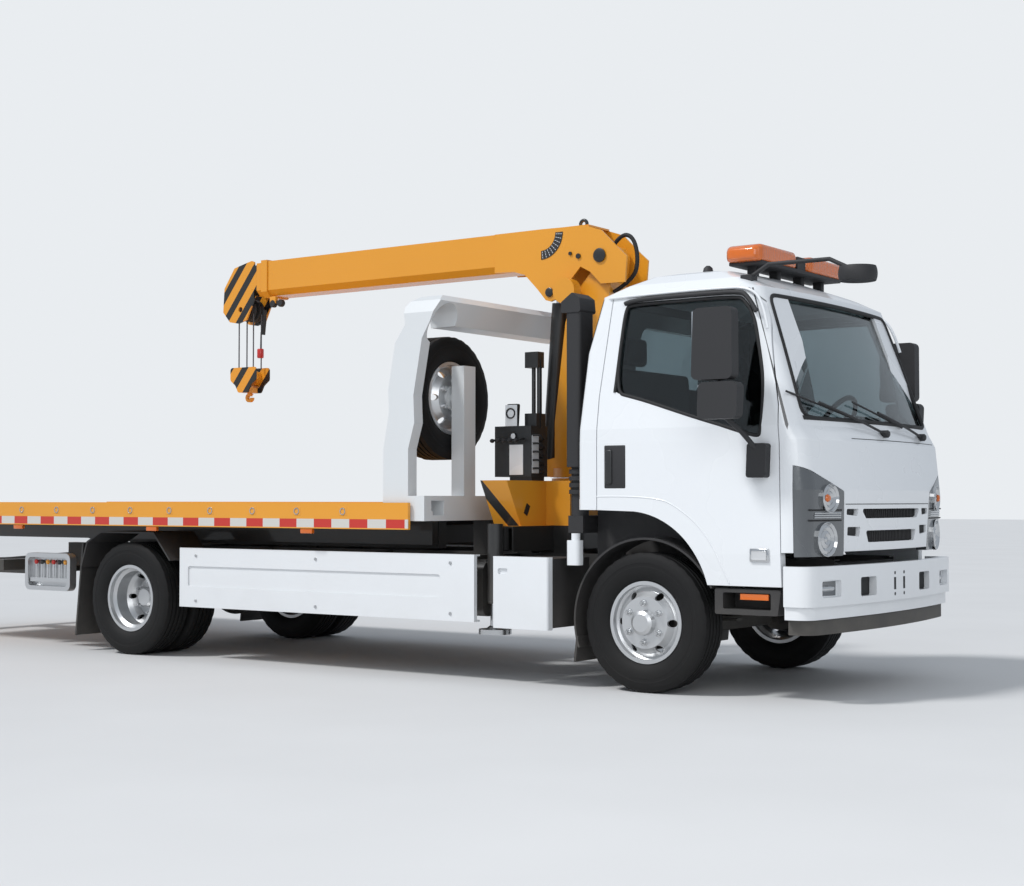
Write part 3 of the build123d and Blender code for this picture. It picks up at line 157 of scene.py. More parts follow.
def pick(piece):
    """Select one piece alone."""
    deselect()
    piece.select_set(True)
    bpy.context.view_layer.objects.active = piece


def edit_all():
    """Enter the picked piece's mesh with everything selected."""
    bpy.ops.object.mode_set(mode="EDIT")
    bpy.ops.mesh.select_all(action="SELECT")


def leave():
    bpy.ops.object.mode_set(mode="OBJECT")


def settle(piece):
    """Put the place, turn and scale of a piece into its mesh."""
    pick(piece)
    bpy.ops.object.transform_apply(location=True, rotation=True, scale=True)
    return piece


def harden(piece, angle=35):
    pick(piece)
    bpy.ops.object.shade_smooth_by_angle(angle=math.radians(angle))
    return piece


def use(piece, kind, **values):
    """Add one modifier and apply it."""
    pick(piece)
    bpy.ops.object.modifier_add(type=kind)
    modifier = piece.modifiers[-1]
    for key, value in values.items():
        setattr(modifier, key, value)
    bpy.ops.object.modifier_apply(modifier=modifier.name)
    return piece


def dress(piece, finish, body):
    """Give a finished piece its material, slot and body."""
    piece.data.materials.clear()
    piece.data.materials.append(FINISHES[finish])
    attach(piece, body)
    return piece


def plate(name, low, high, round_off=0.004, segments=2, inset=0.0, angle=35):
    """A block between two corners with rounded edges, and a raised or sunk face if asked."""
    deselect()
    low, high = Vector(low), Vector(high)
    bpy.ops.mesh.primitive_cube_add(size=1, location=(low + high) / 2)
    piece = bpy.context.object
    piece.name = name
    piece.scale = high - low
    settle(piece)
    if inset:
        edit_all()
        bpy.ops.mesh.inset(thickness=inset, depth=-inset / 3, use_individual=True)
        leave()
    if round_off:
        use(piece, "BEVEL", width=round_off, segments=segments, limit_method="ANGLE")
    return harden(piece, angle)


def side_plate(name, sign, low, high, *shape):
    """A plate between two corners given on the left side, or its mirror on the right."""
    y0, y1 = sorted((sign * low[1], sign * high[1]))
    return plate(name, at(low[0], y0, low[2]), at(high[0], y1, high[2]), *shape)


def side_trim(finish, body, *shape):
    """A side plate that is a piece of its own."""
    return dress(side_plate(*shape), finish, body)


def turned(name, profile, centre, axis="Y", steps=48, tilt=0.0):
    """A lathe piece: profile is (distance along the axis, radius), turned round the axis."""
    piece = line_of(name, [(0, along, radius) for along, radius in profile])
    edit_all()
    bpy.ops.mesh.spin(steps=steps, angle=math.tau, center=(0, 0, 0), axis=(0, 1, 0))
    bpy.ops.mesh.select_all(action="SELECT")
    bpy.ops.mesh.remove_doubles(threshold=0.00002)
    bpy.ops.mesh.normals_make_consistent(inside=False)
    leave()
    turn = Matrix.Identity(4)
    if axis == "X":
        turn = Matrix.Rotation(-math.pi / 2, 4, "Z")
    elif axis == "Z":
        turn = Matrix.Rotation(math.pi / 2, 4, "X")
    if tilt:
        turn = Matrix.Rotation(tilt, 4, "Z") @ turn
    piece.matrix_world = Matrix.Translation(Vector(centre)) @ turn
    settle(piece)
    return harden(piece, 40)


def outward(name, profile, place, sign, steps):
    """A lathe piece round Y with its head outwards."""
    piece = turned(name, profile, (0, 0, 0), "Y", steps)
    piece.matrix_world = Matrix.Translation(place)
    if sign < 0:
        piece.matrix_world = piece.matrix_world @ Matrix.Rotation(math.pi, 4, "Z")
    return settle(piece)


def line_of(name, points):
    """A chain of edges through points, extruded from one corner."""
    deselect()
    bpy.ops.mesh.primitive_plane_add(size=0.01, location=(0, 0, 0))
    piece = bpy.context.object
    piece.name = name
    bpy.ops.object.mode_set(mode="EDIT")
    bpy.ops.mesh.select_mode(type="VERT")
    bpy.ops.mesh.select_all(action="SELECT")
    bpy.ops.mesh.merge(type="CENTER")
    points = [Vector(point) for point in points]
    bpy.ops.transform.translate(value=points[0])
    for near, far in zip(points, points[1:]):
        bpy.ops.mesh.extrude_region_move(TRANSFORM_OT_translate={"value": far - near})
    leave()
    return piece


def pipe(name, points, radius, smooth=True, sides=10):
    """A round bar or pipe through points."""
    piece = line_of(name, points)
    bpy.ops.object.convert(target="CURVE")
    piece = bpy.context.object
    if smooth:
        bpy.ops.object.mode_set(mode="EDIT")
        bpy.ops.curve.select_all(action="SELECT")
        bpy.ops.curve.spline_type_set(type="NURBS")
        leave()
        piece.data.splines[0].order_u = 3
        piece.data.splines[0].use_endpoint_u = True
        piece.data.splines[0].resolution_u = 6
    piece.data.bevel_depth = radius
    piece.data.bevel_resolution = max(1, sides // 4)
    piece.data.use_fill_caps = True
    bpy.ops.object.convert(target="MESH")
    return harden(settle(bpy.context.object), 50)


def hose(name, radius, *spots):
    """A smooth pipe through places given from the front axle."""
    return pipe(name, [at(*spot) for spot in spots], radius)


def ring(place, major, minor, major_steps, minor_steps):
    """A torus that stands upright along X."""
    deselect()
    bpy.ops.mesh.primitive_torus_add(location=place, rotation=(math.pi / 2, 0, 0), major_radius=major,
        minor_radius=minor, major_segments=major_steps, minor_segments=minor_steps)
    return harden(settle(bpy.context.object), 60)


def copy_to(piece, name, turn):
    """A copy with its own mesh, moved by a matrix and settled."""
    pick(piece)
    bpy.ops.object.duplicate()
    twin = bpy.context.object
    twin.name = name
    twin.matrix_world = turn @ twin.matrix_world
    return settle(twin)


def joined(name, parts):
    deselect()
    for part in parts:
        part.select_set(True)
    bpy.context.view_layer.objects.active = parts[0]
    if len(parts) > 1:
        bpy.ops.object.join()
    piece = bpy.context.object
    piece.name = name
    return piece


def gather(name, parts, finish, body):
    """Join parts into one piece and dress it."""
    return dress(joined(name, parts), finish, body)


# Shared effects


def link(value, socket):
    """Lead a number of a node tree, or any other output, to a socket."""
    socket.id_data.links.new(getattr(value, "socket", value), socket)


def working(operation):
    """A method that sends a number through a math node."""
    return lambda self, *others: self.work(operation, self, *others)


class Number:
    """A number in a node tree that takes plain arithmetic and comparisons."""

    def __init__(self, socket):
        self.socket = socket

    def work(self, operation, *values):
        node = self.socket.id_data.nodes.new("ShaderNodeMath")
        node.operation = operation
        for socket, value in zip(node.inputs, values):
            if isinstance(value, (int, float)):
                socket.default_value = value
            else:
                link(value, socket)
        return Number(node.outputs[0])

    def __rsub__(self, other):
        return self.work("SUBTRACT", other, self)

    def clamped(self):
        self.socket.node.use_clamp = True
        return self

    __add__, __sub__, __mul__, __truediv__ = map(working, ("ADD", "SUBTRACT", "MULTIPLY", "DIVIDE"))
    __gt__, __lt__, __pow__, __abs__ = map(working, ("GREATER_THAN", "LESS_THAN", "POWER", "ABSOLUTE"))
    fraction, sine, maximum = map(working, ("FRACT", "SINE", "MAXIMUM"))


def group(name, outputs, **inputs):
    """A node group of float sockets, with what its input node gives and its output node takes."""
    tree = bpy.data.node_groups.new(name, "ShaderNodeTree")
    for label, value in inputs.items():
        socket = tree.interface.new_socket(name=label, in_out="INPUT", socket_type="NodeSocketFloat")
        socket.default_value = value
    for label in outputs:
        tree.interface.new_socket(name=label, in_out="OUTPUT", socket_type="NodeSocketFloat")
    return tree, tree.nodes.new("NodeGroupInput").outputs, tree.nodes.new("NodeGroupOutput").inputs


def mix_colour(tree, factor, a, b):
    node = tree.nodes.new("ShaderNodeMix")
    node.data_type = "RGBA"
    sockets = [s for s in node.inputs if s.enabled]
    for socket, value in zip(sockets, (factor, a, b)):
        if isinstance(value, tuple):
            socket.default_value = (*value, 1)
        else:
            link(value, socket)
    return [s for s in node.outputs if s.enabled][0]


DARK = (0.012, 0.012, 0.012)


def object_axes(tree):
    """X, Y and Z of the surface on Object coordinates."""
    place = tree.nodes.new("ShaderNodeTexCoord")
    split = tree.nodes.new("ShaderNodeSeparateXYZ")
    link(place.outputs["Object"], split.inputs[0])
    return [Number(split.outputs[axis]) for axis in "XYZ"]


def noise_of(tree, **values):
    """Noise on Object coordinates."""
    place = tree.nodes.new("ShaderNodeTexCoord")
    noise = tree.nodes.new("ShaderNodeTexNoise")
    fill_in(noise, **values)
    link(place.outputs["Object"], noise.inputs["Vector"])
    return noise


def fill_in(node, **values):
    """Set sockets by name, with an underline for each space."""
    for key, value in values.items():
        node.inputs[key.replace("_", " ")].default_value = value


def new_material(name):
    made = bpy.data.materials.new(name)
    made.use_nodes = True
    shader = next(n for n in made.node_tree.nodes if n.type == "BSDF_PRINCIPLED")
    return made, made.node_tree, shader


def make_dust():
    """Road dust that thins out with height and settles in patches."""
    tree, given, put = group("road_dust", ["Mask"], Amount=0.3, Height=1.2)
    noise = noise_of(tree, Scale=3.4, Detail=6, Roughness=0.62)
    low = (1.0 - object_axes(tree)[2] / given["Height"]).clamped()
    patchy = low ** 1.6 * noise.outputs["Fac"] * 1.9
    link((patchy * given["Amount"]).clamped(), put["Mask"])
    return tree


def make_peel():
    """The fine waviness of sprayed paint, as a height."""
    tree, given, put = group("paint_peel", ["Height", "Blotch"], Scale=260.0)
    fine = noise_of(tree, Detail=2)
    link(given["Scale"], fine.inputs["Scale"])
    link(fine.outputs["Fac"], put["Height"])
    link(noise_of(tree, Scale=1.7, Detail=3).outputs["Fac"], put["Blotch"])
    return tree


def make_tape():
    """Red and white fields along X on a low band of the side rail."""
    tree, given, put = group("marker_tape", ["Band", "Red"], Pitch=0.3, Low=0.9, High=0.97, Side=1.14)
    x, y, z = object_axes(tree)
    link((z > given["Low"]) * (z < given["High"]) * (abs(y) > given["Side"]), put["Band"])
    link((x / given["Pitch"]).fraction() < 0.5, put["Red"])
    return tree


def make_hazard():
    """Slanted bars across X and Z, as a mask."""
    tree, given, put = group("hazard_bars", ["Bars"], Pitch=0.15)
    x, _, z = object_axes(tree)
    link(((x - z * 0.8) / given["Pitch"]).fraction() < 0.45, put["Bars"])
    return tree


def make_ribs():
    """Even upright ribs across Y, as a height."""
    tree, given, put = group("lens_ribs", ["Height"], Pitch=0.02)
    turns = object_axes(tree)[1] / given["Pitch"]
    link((turns * math.tau).sine() + 1.0, put["Height"])
    return tree


EFFECTS = {}
MAKERS = {"road_dust": make_dust, "paint_peel": make_peel, "marker_tape": make_tape,
    "hazard_bars": make_hazard, "lens_ribs": make_ribs}


def effect(tree, name, **values):
    """The outputs of a shared effect, made when first asked for."""
    if name not in EFFECTS:
        EFFECTS[name] = MAKERS[name]()
    node = tree.nodes.new("ShaderNodeGroup")
    node.node_tree = EFFECTS[name]
    fill_in(node, **values)
    return node.outputs


DUST_COLOUR = (0.30, 0.27, 0.23)
# How much rougher a finish is in the middle of a blotch
ROUGH_BLOTCH = 0.12


def finish(name, colour, rough=0.5, metal=0.0, coat=0.0, peel=0.0, peel_scale=260.0, dust=0.0,
        vary=0.06, extra=None, ribs=0.0, **sockets):
    """A Principled material with blotches, fine relief and its share of the road dust."""
    made, tree, shader = new_material(name)
    fill_in(shader, Metallic=metal, Coat_Weight=coat, Coat_Roughness=0.06, **sockets)
    relief = effect(tree, "paint_peel", Scale=peel_scale)
    darker = tuple(c * (1 - vary * 2) for c in colour)
    base = mix_colour(tree, relief["Blotch"], darker, colour)
    if extra:
        base = extra(tree, base)
    level = Number(relief["Blotch"]) * ROUGH_BLOTCH
    if dust:
        mask = effect(tree, "road_dust", Amount=settings("finish").dust * dust)["Mask"]
        base = mix_colour(tree, mask, base, DUST_COLOUR)
        level = Number(mask) * 0.5 + level
    link((level + rough).clamped(), shader.inputs["Roughness"])
    link(base, shader.inputs["Base Color"])
    if peel or ribs:
        bump = tree.nodes.new("ShaderNodeBump")
        fill_in(bump, Strength=peel or 0.8, Distance=0.002)
        height = effect(tree, "lens_ribs", Pitch=ribs) if ribs else relief
        link(height["Height"], bump.inputs["Height"])
        link(bump.outputs["Normal"], shader.inputs["Normal"])
    return made


def with_tape_and_painted_shade(tree, base):
    """Red and white marker tape on the side rail of the bed, and painted shade: its parts inside and
    below the rail are painted black.
    """
    low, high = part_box("bed_deck")
    tape = effect(tree, "marker_tape", Pitch=settings("stripes").tape_pitch, Low=0.919, High=0.974,
        Side=high.y - 0.004)
    fields = mix_colour(tree, tape["Red"], (0.62, 0.60, 0.56), (0.55, 0.022, 0.010))
    base = mix_colour(tree, tape["Band"], base, fields)
    x, y, z = object_axes(tree)
    # Painted shade: the sills and deck underside inside the rails are painted black where the deck
    # throws its shade.
    inside = (abs(y) < high.y - 0.03) * (z < 1.004) * (x > low.x + 0.3)
    return mix_colour(tree, inside, base, DARK)


def with_bars(tree, base):
    """One broad black bar on each slanted end of the crane base, and its housing below in black."""
    x, y, z = object_axes(tree)
    height = z - CRANE_HOUSING_Z
    outer = abs(y) - height * 0.5357 > 0.697
    bar = abs(x + height * 0.62 - at(-1.085, 0, 0).x) < 0.042
    return mix_colour(tree, (bar * outer).maximum(height < -0.0005), base, DARK)


def with_side_bars(tree, base):
    """Black bars that rise towards the front, on the hook block and the boom head."""
    bars = effect(tree, "hazard_bars", Pitch=settings("stripes").hazard_pitch)
    x, y, _ = object_axes(tree)
    head = x < at(BOOM_HEAD_X, 0, 0).x
    return mix_colour(tree, head * bars["Bars"] * (abs(y) > 0.045), base, DARK)


def with_interior(tree, base):
    """Grey lining on what lies inside the cab's skin above the beltline."""
    x, y, z = object_axes(tree)
    rise = (z - BELT_Z).clamped()
    width = abs(y)
    within = width < 0.987 - rise * 0.151
    behind = x < at(1.012, 0, 0).x - rise * 0.365 - width * width * 0.095
    ahead = x > at(-0.50, 0, 0).x
    lined = within * behind * ahead * (z > 1.10) * (z < 2.268)
    return mix_colour(tree, lined, base, (0.045, 0.047, 0.050))


FINISHES = {}


def make_finishes():
    look = settings("finish")
    white, yellow, black = tuple(look.white), tuple(look.yellow), tuple(look.black)
    made = {
        "white_paint": finish("white_enamel", white, 0.22, coat=0.6, peel=0.05, dust=0.6, vary=0.01),
        "yellow_paint": finish("bed_enamel", yellow, 0.30, coat=0.45, peel=0.08, dust=0.5, vary=0.03),
        "bed_paint": finish("bed_enamel_taped", yellow, 0.32, coat=0.35, peel=0.08, dust=0.5,
            vary=0.03, extra=with_tape_and_painted_shade),
        "base_paint": finish("crane_base_enamel", yellow, 0.32, coat=0.35, peel=0.08, dust=0.6,
            vary=0.04, extra=with_bars),
        "hook_paint": finish("hook_enamel", yellow, 0.34, coat=0.3, peel=0.08, vary=0.04,
            extra=with_side_bars),
        "cab_paint": finish("cab_enamel", white, 0.22, coat=0.6, peel=0.05, dust=0.35, vary=0.01,
            extra=with_interior),
        "guard_paint": finish("guard_enamel", (0.70, 0.72, 0.73), 0.34, coat=0.3, peel=0.08, dust=0.5,
            vary=0.02),
        "black_paint": finish("black_enamel", black, 0.34, coat=0.25, peel=0.10, dust=1.0, vary=0.08),
        "frame_black": finish("chassis_enamel", black, 0.48, peel=0.15, peel_scale=120, dust=1.3,
            vary=0.1),
        "silver_paint": finish("wheel_silver", tuple(look.silver), 0.26, metal=0.85, peel=0.06,
            dust=0.3, vary=0.05),
        "tyre_rubber": finish("tyre_rubber", (0.007, 0.007, 0.0075), 0.62, peel=0.25, peel_scale=90,
            dust=0.05, vary=0.12, Specular_IOR_Level=0.28),
        "black_plastic": finish("grained_plastic", (0.022, 0.022, 0.024), 0.55, peel=0.35,
            peel_scale=420, dust=0.7, vary=0.06),
        "amber_lens": finish("beacon_amber", tuple(look.amber), 0.12, coat=0.8, vary=0.12, ribs=0.022,
            Transmission_Weight=0.25, IOR=1.46),
        "lamp_lens": finish("lamp_housing", (0.15, 0.16, 0.17), 0.20, metal=0.55, coat=1.0, vary=0.22),
        "red_lens": finish("red_lens", (0.42, 0.008, 0.006), 0.14, coat=0.8, dust=0.5, vary=0.05),
        "trim_fabric": finish("seat_fabric", (0.055, 0.058, 0.064), 0.88, peel=0.6, peel_scale=600,
            vary=0.1),
        "grey_plastic": finish("dash_plastic", (0.075, 0.078, 0.082), 0.6, peel=0.3, peel_scale=380,
            vary=0.05),
        "bright_steel": finish("chromed_rod", (0.60, 0.61, 0.62), 0.16, metal=1.0, peel=0.03, dust=0.3,
            vary=0.05),
        "wire_steel": finish("wire_rope_steel", (0.16, 0.16, 0.17), 0.5, metal=0.8, peel=0.5,
            peel_scale=700, vary=0.1),
        "cast_metal": finish("cast_metal", (0.055, 0.055, 0.057), 0.6, metal=0.4, peel=0.4,
            peel_scale=160, dust=1.2, vary=0.1),
        "seal_rubber": finish("seal_rubber", (0.012, 0.012, 0.013), 0.62, vary=0.04),
        "lamp_white": finish("lamp_white", (0.62, 0.63, 0.64), 0.10, coat=0.9, vary=0.10, ribs=0.012),
        "chrome": finish("lamp_chrome", (0.60, 0.61, 0.62), 0.05, metal=1.0, vary=0.03),
        "mirror_glass": finish("mirror_glass", (0.80, 0.82, 0.84), 0.03, metal=1.0, vary=0.01),
        "red_paint": finish("red_enamel", (0.55, 0.02, 0.015), 0.3, coat=0.4, vary=0.04),
    }
    made["tinted_glass"] = tinted_glass()
    return made


def tinted_glass():
    """Thin tinted glazing with a green-grey edge."""
    made, tree, shader = new_material("tinted_glazing")
    fill_in(shader, Roughness=0.0, IOR=1.45, Transmission_Weight=1.0)
    link(mix_colour(tree, noise_of(tree, Scale=2.2).outputs["Fac"], (0.36, 0.43, 0.44),
        (0.44, 0.51, 0.52)), shader.inputs["Base Color"])
    return made


# Which finish each carried-over node takes when it isn't its slot's own
SPECIAL_FINISH = {"bed_deck": "bed_paint", "crane_base": "base_paint", "hook_block": "hook_paint",
    "lever_station": "silver_paint", "boom_tip": "hook_paint", "cab_shell": "cab_paint",
    "door_left": "cab_paint", "door_right": "cab_paint", "gantry": "guard_paint"}


class TRUCK_OT_finishes(bpy.types.Operator):
    """Make the finishes and put them on the carried-over parts"""
    bl_idname = "truck.finishes"
    bl_label = "Paint and finishes"

    def execute(self, context):
        FINISHES.update(make_finishes())
        slots = {row["node"]: row["material_slot"] for row in frame["record"]["subparts"]}
        for name, node in frame["nodes"].items():
            look = FINISHES[SPECIAL_FINISH.get(name, slots[name])]
            if not node.material_slots:
                node.data.materials.append(look)
            for place in node.material_slots:
                place.material = look
        return {"FINISHED"}


def facing(way):
    """The turn of a lamp or camera that looks along a direction."""
    return way.to_track_quat("-Z", "Y").to_euler()


class TRUCK_OT_stage(bpy.types.Operator):
    """Set the floor, the soft lights and the camera"""
    bl_idname = "truck.stage"
    bl_label = "Studio and camera"

    def execute(self, context):
        look = settings("stage")
        scene = context.scene
        scene.view_settings.view_transform = "Standard"
        deselect()
        bpy.ops.mesh.primitive_plane_add(size=look.floor_size, location=(0, 0, 0))
        floor = context.object
        floor.name = "studio_floor"
        settle(floor)
        ground, tree, shader = new_material("studio_floor")
        fill_in(shader, Roughness=0.85)
        link(mix_colour(tree, noise_of(tree, Scale=0.8).outputs["Fac"], (0.60, 0.60, 0.60),
            (0.66, 0.66, 0.66)), shader.inputs["Base Color"])
        floor.data.materials.append(ground)
        world = bpy.data.worlds.new("studio_sky")
        scene.world = world
        world.use_nodes = True
        tree = world.node_tree
        sky = tree.nodes["Background"]
        fill_in(sky, Color=(0.80, 0.87, 0.96, 1), Strength=0.62)
        seen = tree.nodes.new("ShaderNodeBackground")
        fill_in(seen, Color=(0.86, 0.89, 0.92, 1), Strength=0.95)
        path = tree.nodes.new("ShaderNodeLightPath")
        choice = tree.nodes.new("ShaderNodeMixShader")
        ends = (path.outputs["Is Camera Ray"], sky.outputs[0], seen.outputs[0])
        for output, socket in zip(ends, choice.inputs):
            link(output, socket)
        out = next(n for n in tree.nodes if n.type == "OUTPUT_WORLD")
        link(choice.outputs[0], out.inputs["Surface"])
        bpy.ops.object.light_add(type="SUN", location=(0, 0, 12))
        sun = context.object
        sun.name = "key_sun"
        sun.data.energy = look.key_strength
        sun.data.angle = math.radians(9)
        sun.rotation_euler = facing(Vector((0.42, 0.62, -0.95)))
        bpy.ops.object.light_add(type="AREA", location=at(6.5, -9.0, 5.5))
        fill = context.object
        fill.name = "front_fill"
        fill.data.energy = 260
        fill.data.size = 6
        fill.rotation_euler = facing(at(-1.5, 0, 1.2) - fill.location)
        spot = at(*CAMERA_PLACE)
        ahead = Vector((-math.sin(CAMERA_TURN) * math.cos(CAMERA_RISE),
            math.cos(CAMERA_TURN) * math.cos(CAMERA_RISE), math.sin(CAMERA_RISE)))
        bpy.ops.object.camera_add(location=spot)
        camera = context.object
        camera.name = "photo_camera"
        camera.rotation_euler = facing(ahead)
        camera.data.lens = CAMERA_LENS
        camera.data.sensor_width = 36
        camera.data.clip_end = 500
        scene.camera = camera
        return {"FINISHED"}


# Tyres


def tyre_profile(look):
    """Half section of a truck tyre, from bead over the tread to the other bead."""
    half, tread, radius = 0.1165, 0.098, TYRE_R - 0.0006
    side = [(0.084, 0.2235), (0.0845, 0.236), (0.0935, 0.243), (0.101, 0.252), (0.1125, 0.276),
        (half, 0.300), (half + 0.0004, 0.318), (half - 0.0008, 0.3195), (half - 0.0012, 0.338),
        (half, 0.3395), (0.1125, 0.362), (0.1065, 0.379), (tread + 0.002, 0.389),
        (tread - 0.004, radius - 0.0015)]
    top = []
    rib = 2 * (tread - 0.006) / (look.grooves + 1)
    for i in range(1, look.grooves + 1):
        middle = tread - 0.006 - i * rib
        top += [(middle + 0.0065, radius), (middle + 0.0045, radius - look.groove_depth),
            (middle - 0.0045, radius - look.groove_depth), (middle - 0.0065, radius)]
    back = [(-a, r) for a, r in reversed(side)]
    return side + top + back


def tyre_ring(look):
    """The tyre that all the others are copied from."""
    profile = tyre_profile(look)
    tyre = turned("tyre_master", profile + profile[:1], (0, 0, 0), "Y", look.steps)
    # Every few steps the shoulder ribs are drawn in
    deselect()
    for vertex in tyre.data.vertices:
        radius = math.hypot(vertex.co.x, vertex.co.z)
        turn = math.atan2(vertex.co.z, vertex.co.x) / math.tau * look.steps
        outer = radius > TYRE_R - 0.014 and abs(vertex.co.y) > 0.062
        vertex.select = outer and int(round(turn)) % 3 == 0
    for part in list(tyre.data.edges) + list(tyre.data.polygons):
        part.select = False
    tyre.select_set(True)
    bpy.context.view_layer.objects.active = tyre
    bpy.ops.object.mode_set(mode="EDIT")
    bpy.ops.mesh.select_mode(type="VERT")
    drawn = 1 - 0.0035 / TYRE_R
    bpy.ops.transform.resize(value=(drawn, 1, drawn), center_override=(0, 0, 0))
    leave()
    return harden(tyre, 28)


class TRUCK_OT_tyres(bpy.types.Operator):
    """Turn the tyres with their tread grooves and shoulder cuts"""
    bl_idname = "truck.tyres"
    bl_label = "Tyres"

    def execute(self, context):
        look = settings("tyres")
        master = tyre_ring(look)
        for side, sign in SIDES:
            place = Matrix.Translation(at(0, sign * FRONT_Y, TYRE_R))
            tyre = copy_to(master, "front_tyre_" + side, place)
            dress(tyre, "tyre_rubber", "front_wheel_" + side)
            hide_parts("tyre_front_" + side)
            pair = []
            for offset in (-TWIN_HALF, TWIN_HALF):
                place = Matrix.Translation(at(REAR_X, sign * REAR_Y + offset, TYRE_R))
                pair.append(copy_to(master, "rear_tyre", place))
            twins = gather("rear_tyres_" + side, pair, "tyre_rubber", "rear_wheels_" + side)
            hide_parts("tyres_rear_" + side)
        place = Matrix.Translation((SPARE_BOX[0] + SPARE_BOX[1]) / 2)
        spare = copy_to(master, "spare_wheel_tyre", place @ Matrix.Rotation(math.pi / 2, 4, "Z"))
        dress(spare, "tyre_rubber", "chassis")
        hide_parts("spare_tyre")
        bpy.data.objects.remove(master)
        return {"FINISHED"}


class TRUCK_OT_wheel_fittings(bpy.types.Operator):
    """Wheel nuts and valve stems"""
    bl_idname = "truck.wheel_fittings"
    bl_label = "Wheel nuts and hubs"

    def execute(self, context):
        for side, sign in SIDES:
            # body, axle x, wheel centre y, disc face from the centre, stud length
            wheels = [("front_wheel_", 0.0, FRONT_Y, 0.102, 0.020),
                ("rear_wheels_", REAR_X, REAR_Y, 0.012, 0.034)]
            for body, x, y, face, length in wheels:
                nuts = []
                for i in range(WHEEL_NUTS):
                    angle = math.tau * i / WHEEL_NUTS
                    spot = at(x + BOLT_CIRCLE_R * math.sin(angle), sign * (y + face),
                        TYRE_R + BOLT_CIRCLE_R * math.cos(angle))
                    nuts.append(outward("nut", [(0, 0.0), (0, 0.021), (0.003, 0.021), (0.004, 0.0165),
                        (0.022, 0.0165), (0.025, 0.0135), (0.025, 0.009), (0.025 + length, 0.009),
                        (0.025 + length, 0.0)], spot, sign, 12))
                gather(body + "nuts_" + side, nuts, "bright_steel", body + side)
            stem = hose("valve_stem_" + side, 0.004, (0.10, sign * (FRONT_Y + 0.055), TYRE_R - 0.135),
                (0.115, sign * (FRONT_Y + 0.085), TYRE_R - 0.155),
                (0.12, sign * (FRONT_Y + 0.105), TYRE_R - 0.165))
            dress(stem, "bright_steel", "front_wheel_" + side)
        return {"FINISHED"}


# Cab


def between(rows, z):
    """What a table says at a height, with straight lines between its rows."""
    for (z0, *low), (z1, *high) in zip(rows, rows[1:]):
        if z <= z1:
            share = (z - z0) / (z1 - z0)
            return [a + (b - a) * share for a, b in zip(low, high)]
    return high


def half_width(z):
    """Half width of the cab's side at a height."""
    return between([(0.62, 0.99), (0.80, 1.0), (1.50, 0.998), (1.95, 0.93), (2.28, 0.88),
        (2.345, 0.80)], z)[0]


def nose_x(z, y):
    """How far forward the cab's face stands at a height and a width."""
    # height, reach on the middle line, how much less at the corner
    reach, sag = between([(0.62, 1.10, 0.10), (0.80, 1.10, 0.10), (1.15, 1.118, 0.10),
        (1.42, 1.085, 0.095), (1.50, 1.03, 0.085), (1.95, 0.865, 0.065), (2.28, 0.745, 0.06)], z)
    return reach - sag * (y / half_width(z)) ** 2


def nose_run(z, start, end, steps, lift, sign=1):
    """Points over the cab's face at one height, from one width to another."""
    widths = [start + (end - start) * i / steps for i in range(steps + 1)]
    return [at(nose_x(z, y) + lift, sign * y, z) for y in widths]


def side_run(rows, lift, sign):
    """Points over the cab's side, from rows of x and z."""
    return [at(x, sign * (half_width(z) + lift), z) for x, z in rows]


def seal_loop(name, points, radius, body):
    """A rubber seal that follows a closed line of points."""
    piece = pipe(name, points + points[:2], radius, sides=8)
    return dress(piece, "seal_rubber", body)


class TRUCK_OT_glazing_seals(bpy.types.Operator):
    """Rubber seals round the windscreen and the door windows"""
    bl_idname = "truck.glazing_seals"
    bl_label = "Window seals"

    def execute(self, context):
        window = [(-0.180, 1.712), (-0.165, 1.97), (-0.150, 2.195), (-0.12, 2.222), (0.22, 2.222),
            (0.58, 2.222), (0.62, 2.195), (0.683, 2.11), (0.73, 1.92), (0.768, 1.74), (0.768, 1.46),
            (0.745, 1.436), (0.58, 1.488), (0.390, 1.544), (0.21, 1.60), (0.031, 1.657), (-0.07, 1.684)]
        for side, sign in SIDES:
            seal_loop("window_seal_" + side, side_run(window, -0.004, sign), 0.011, "cab_door_" + side)
        (foot_y, foot_z), (top_y, top_z) = SCREEN_FOOT, SCREEN_TOP
        corners = [(-foot_y, foot_z), (foot_y, foot_z), (top_y, top_z), (-top_y, top_z)]
        rows = []
        # corner to start from, points to leave out there, steps, points
        for i, skipped, steps, count in ((0, 0, 12, 13), (1, 1, 6, 5), (2, 0, 12, 13), (3, 1, 6, 5)):
            (y0, z0), (y1, z1) = corners[i], corners[(i + 1) % 4]
            for share in [(skipped + k) / steps for k in range(count)]:
                rows.append((y0 + (y1 - y0) * share, z0 + (z1 - z0) * share))
        points = [at(nose_x(z, y) - 0.002, y, z) for y, z in rows]
        seal_loop("windscreen_seal", points, 0.013, "cab")
        return {"FINISHED"}


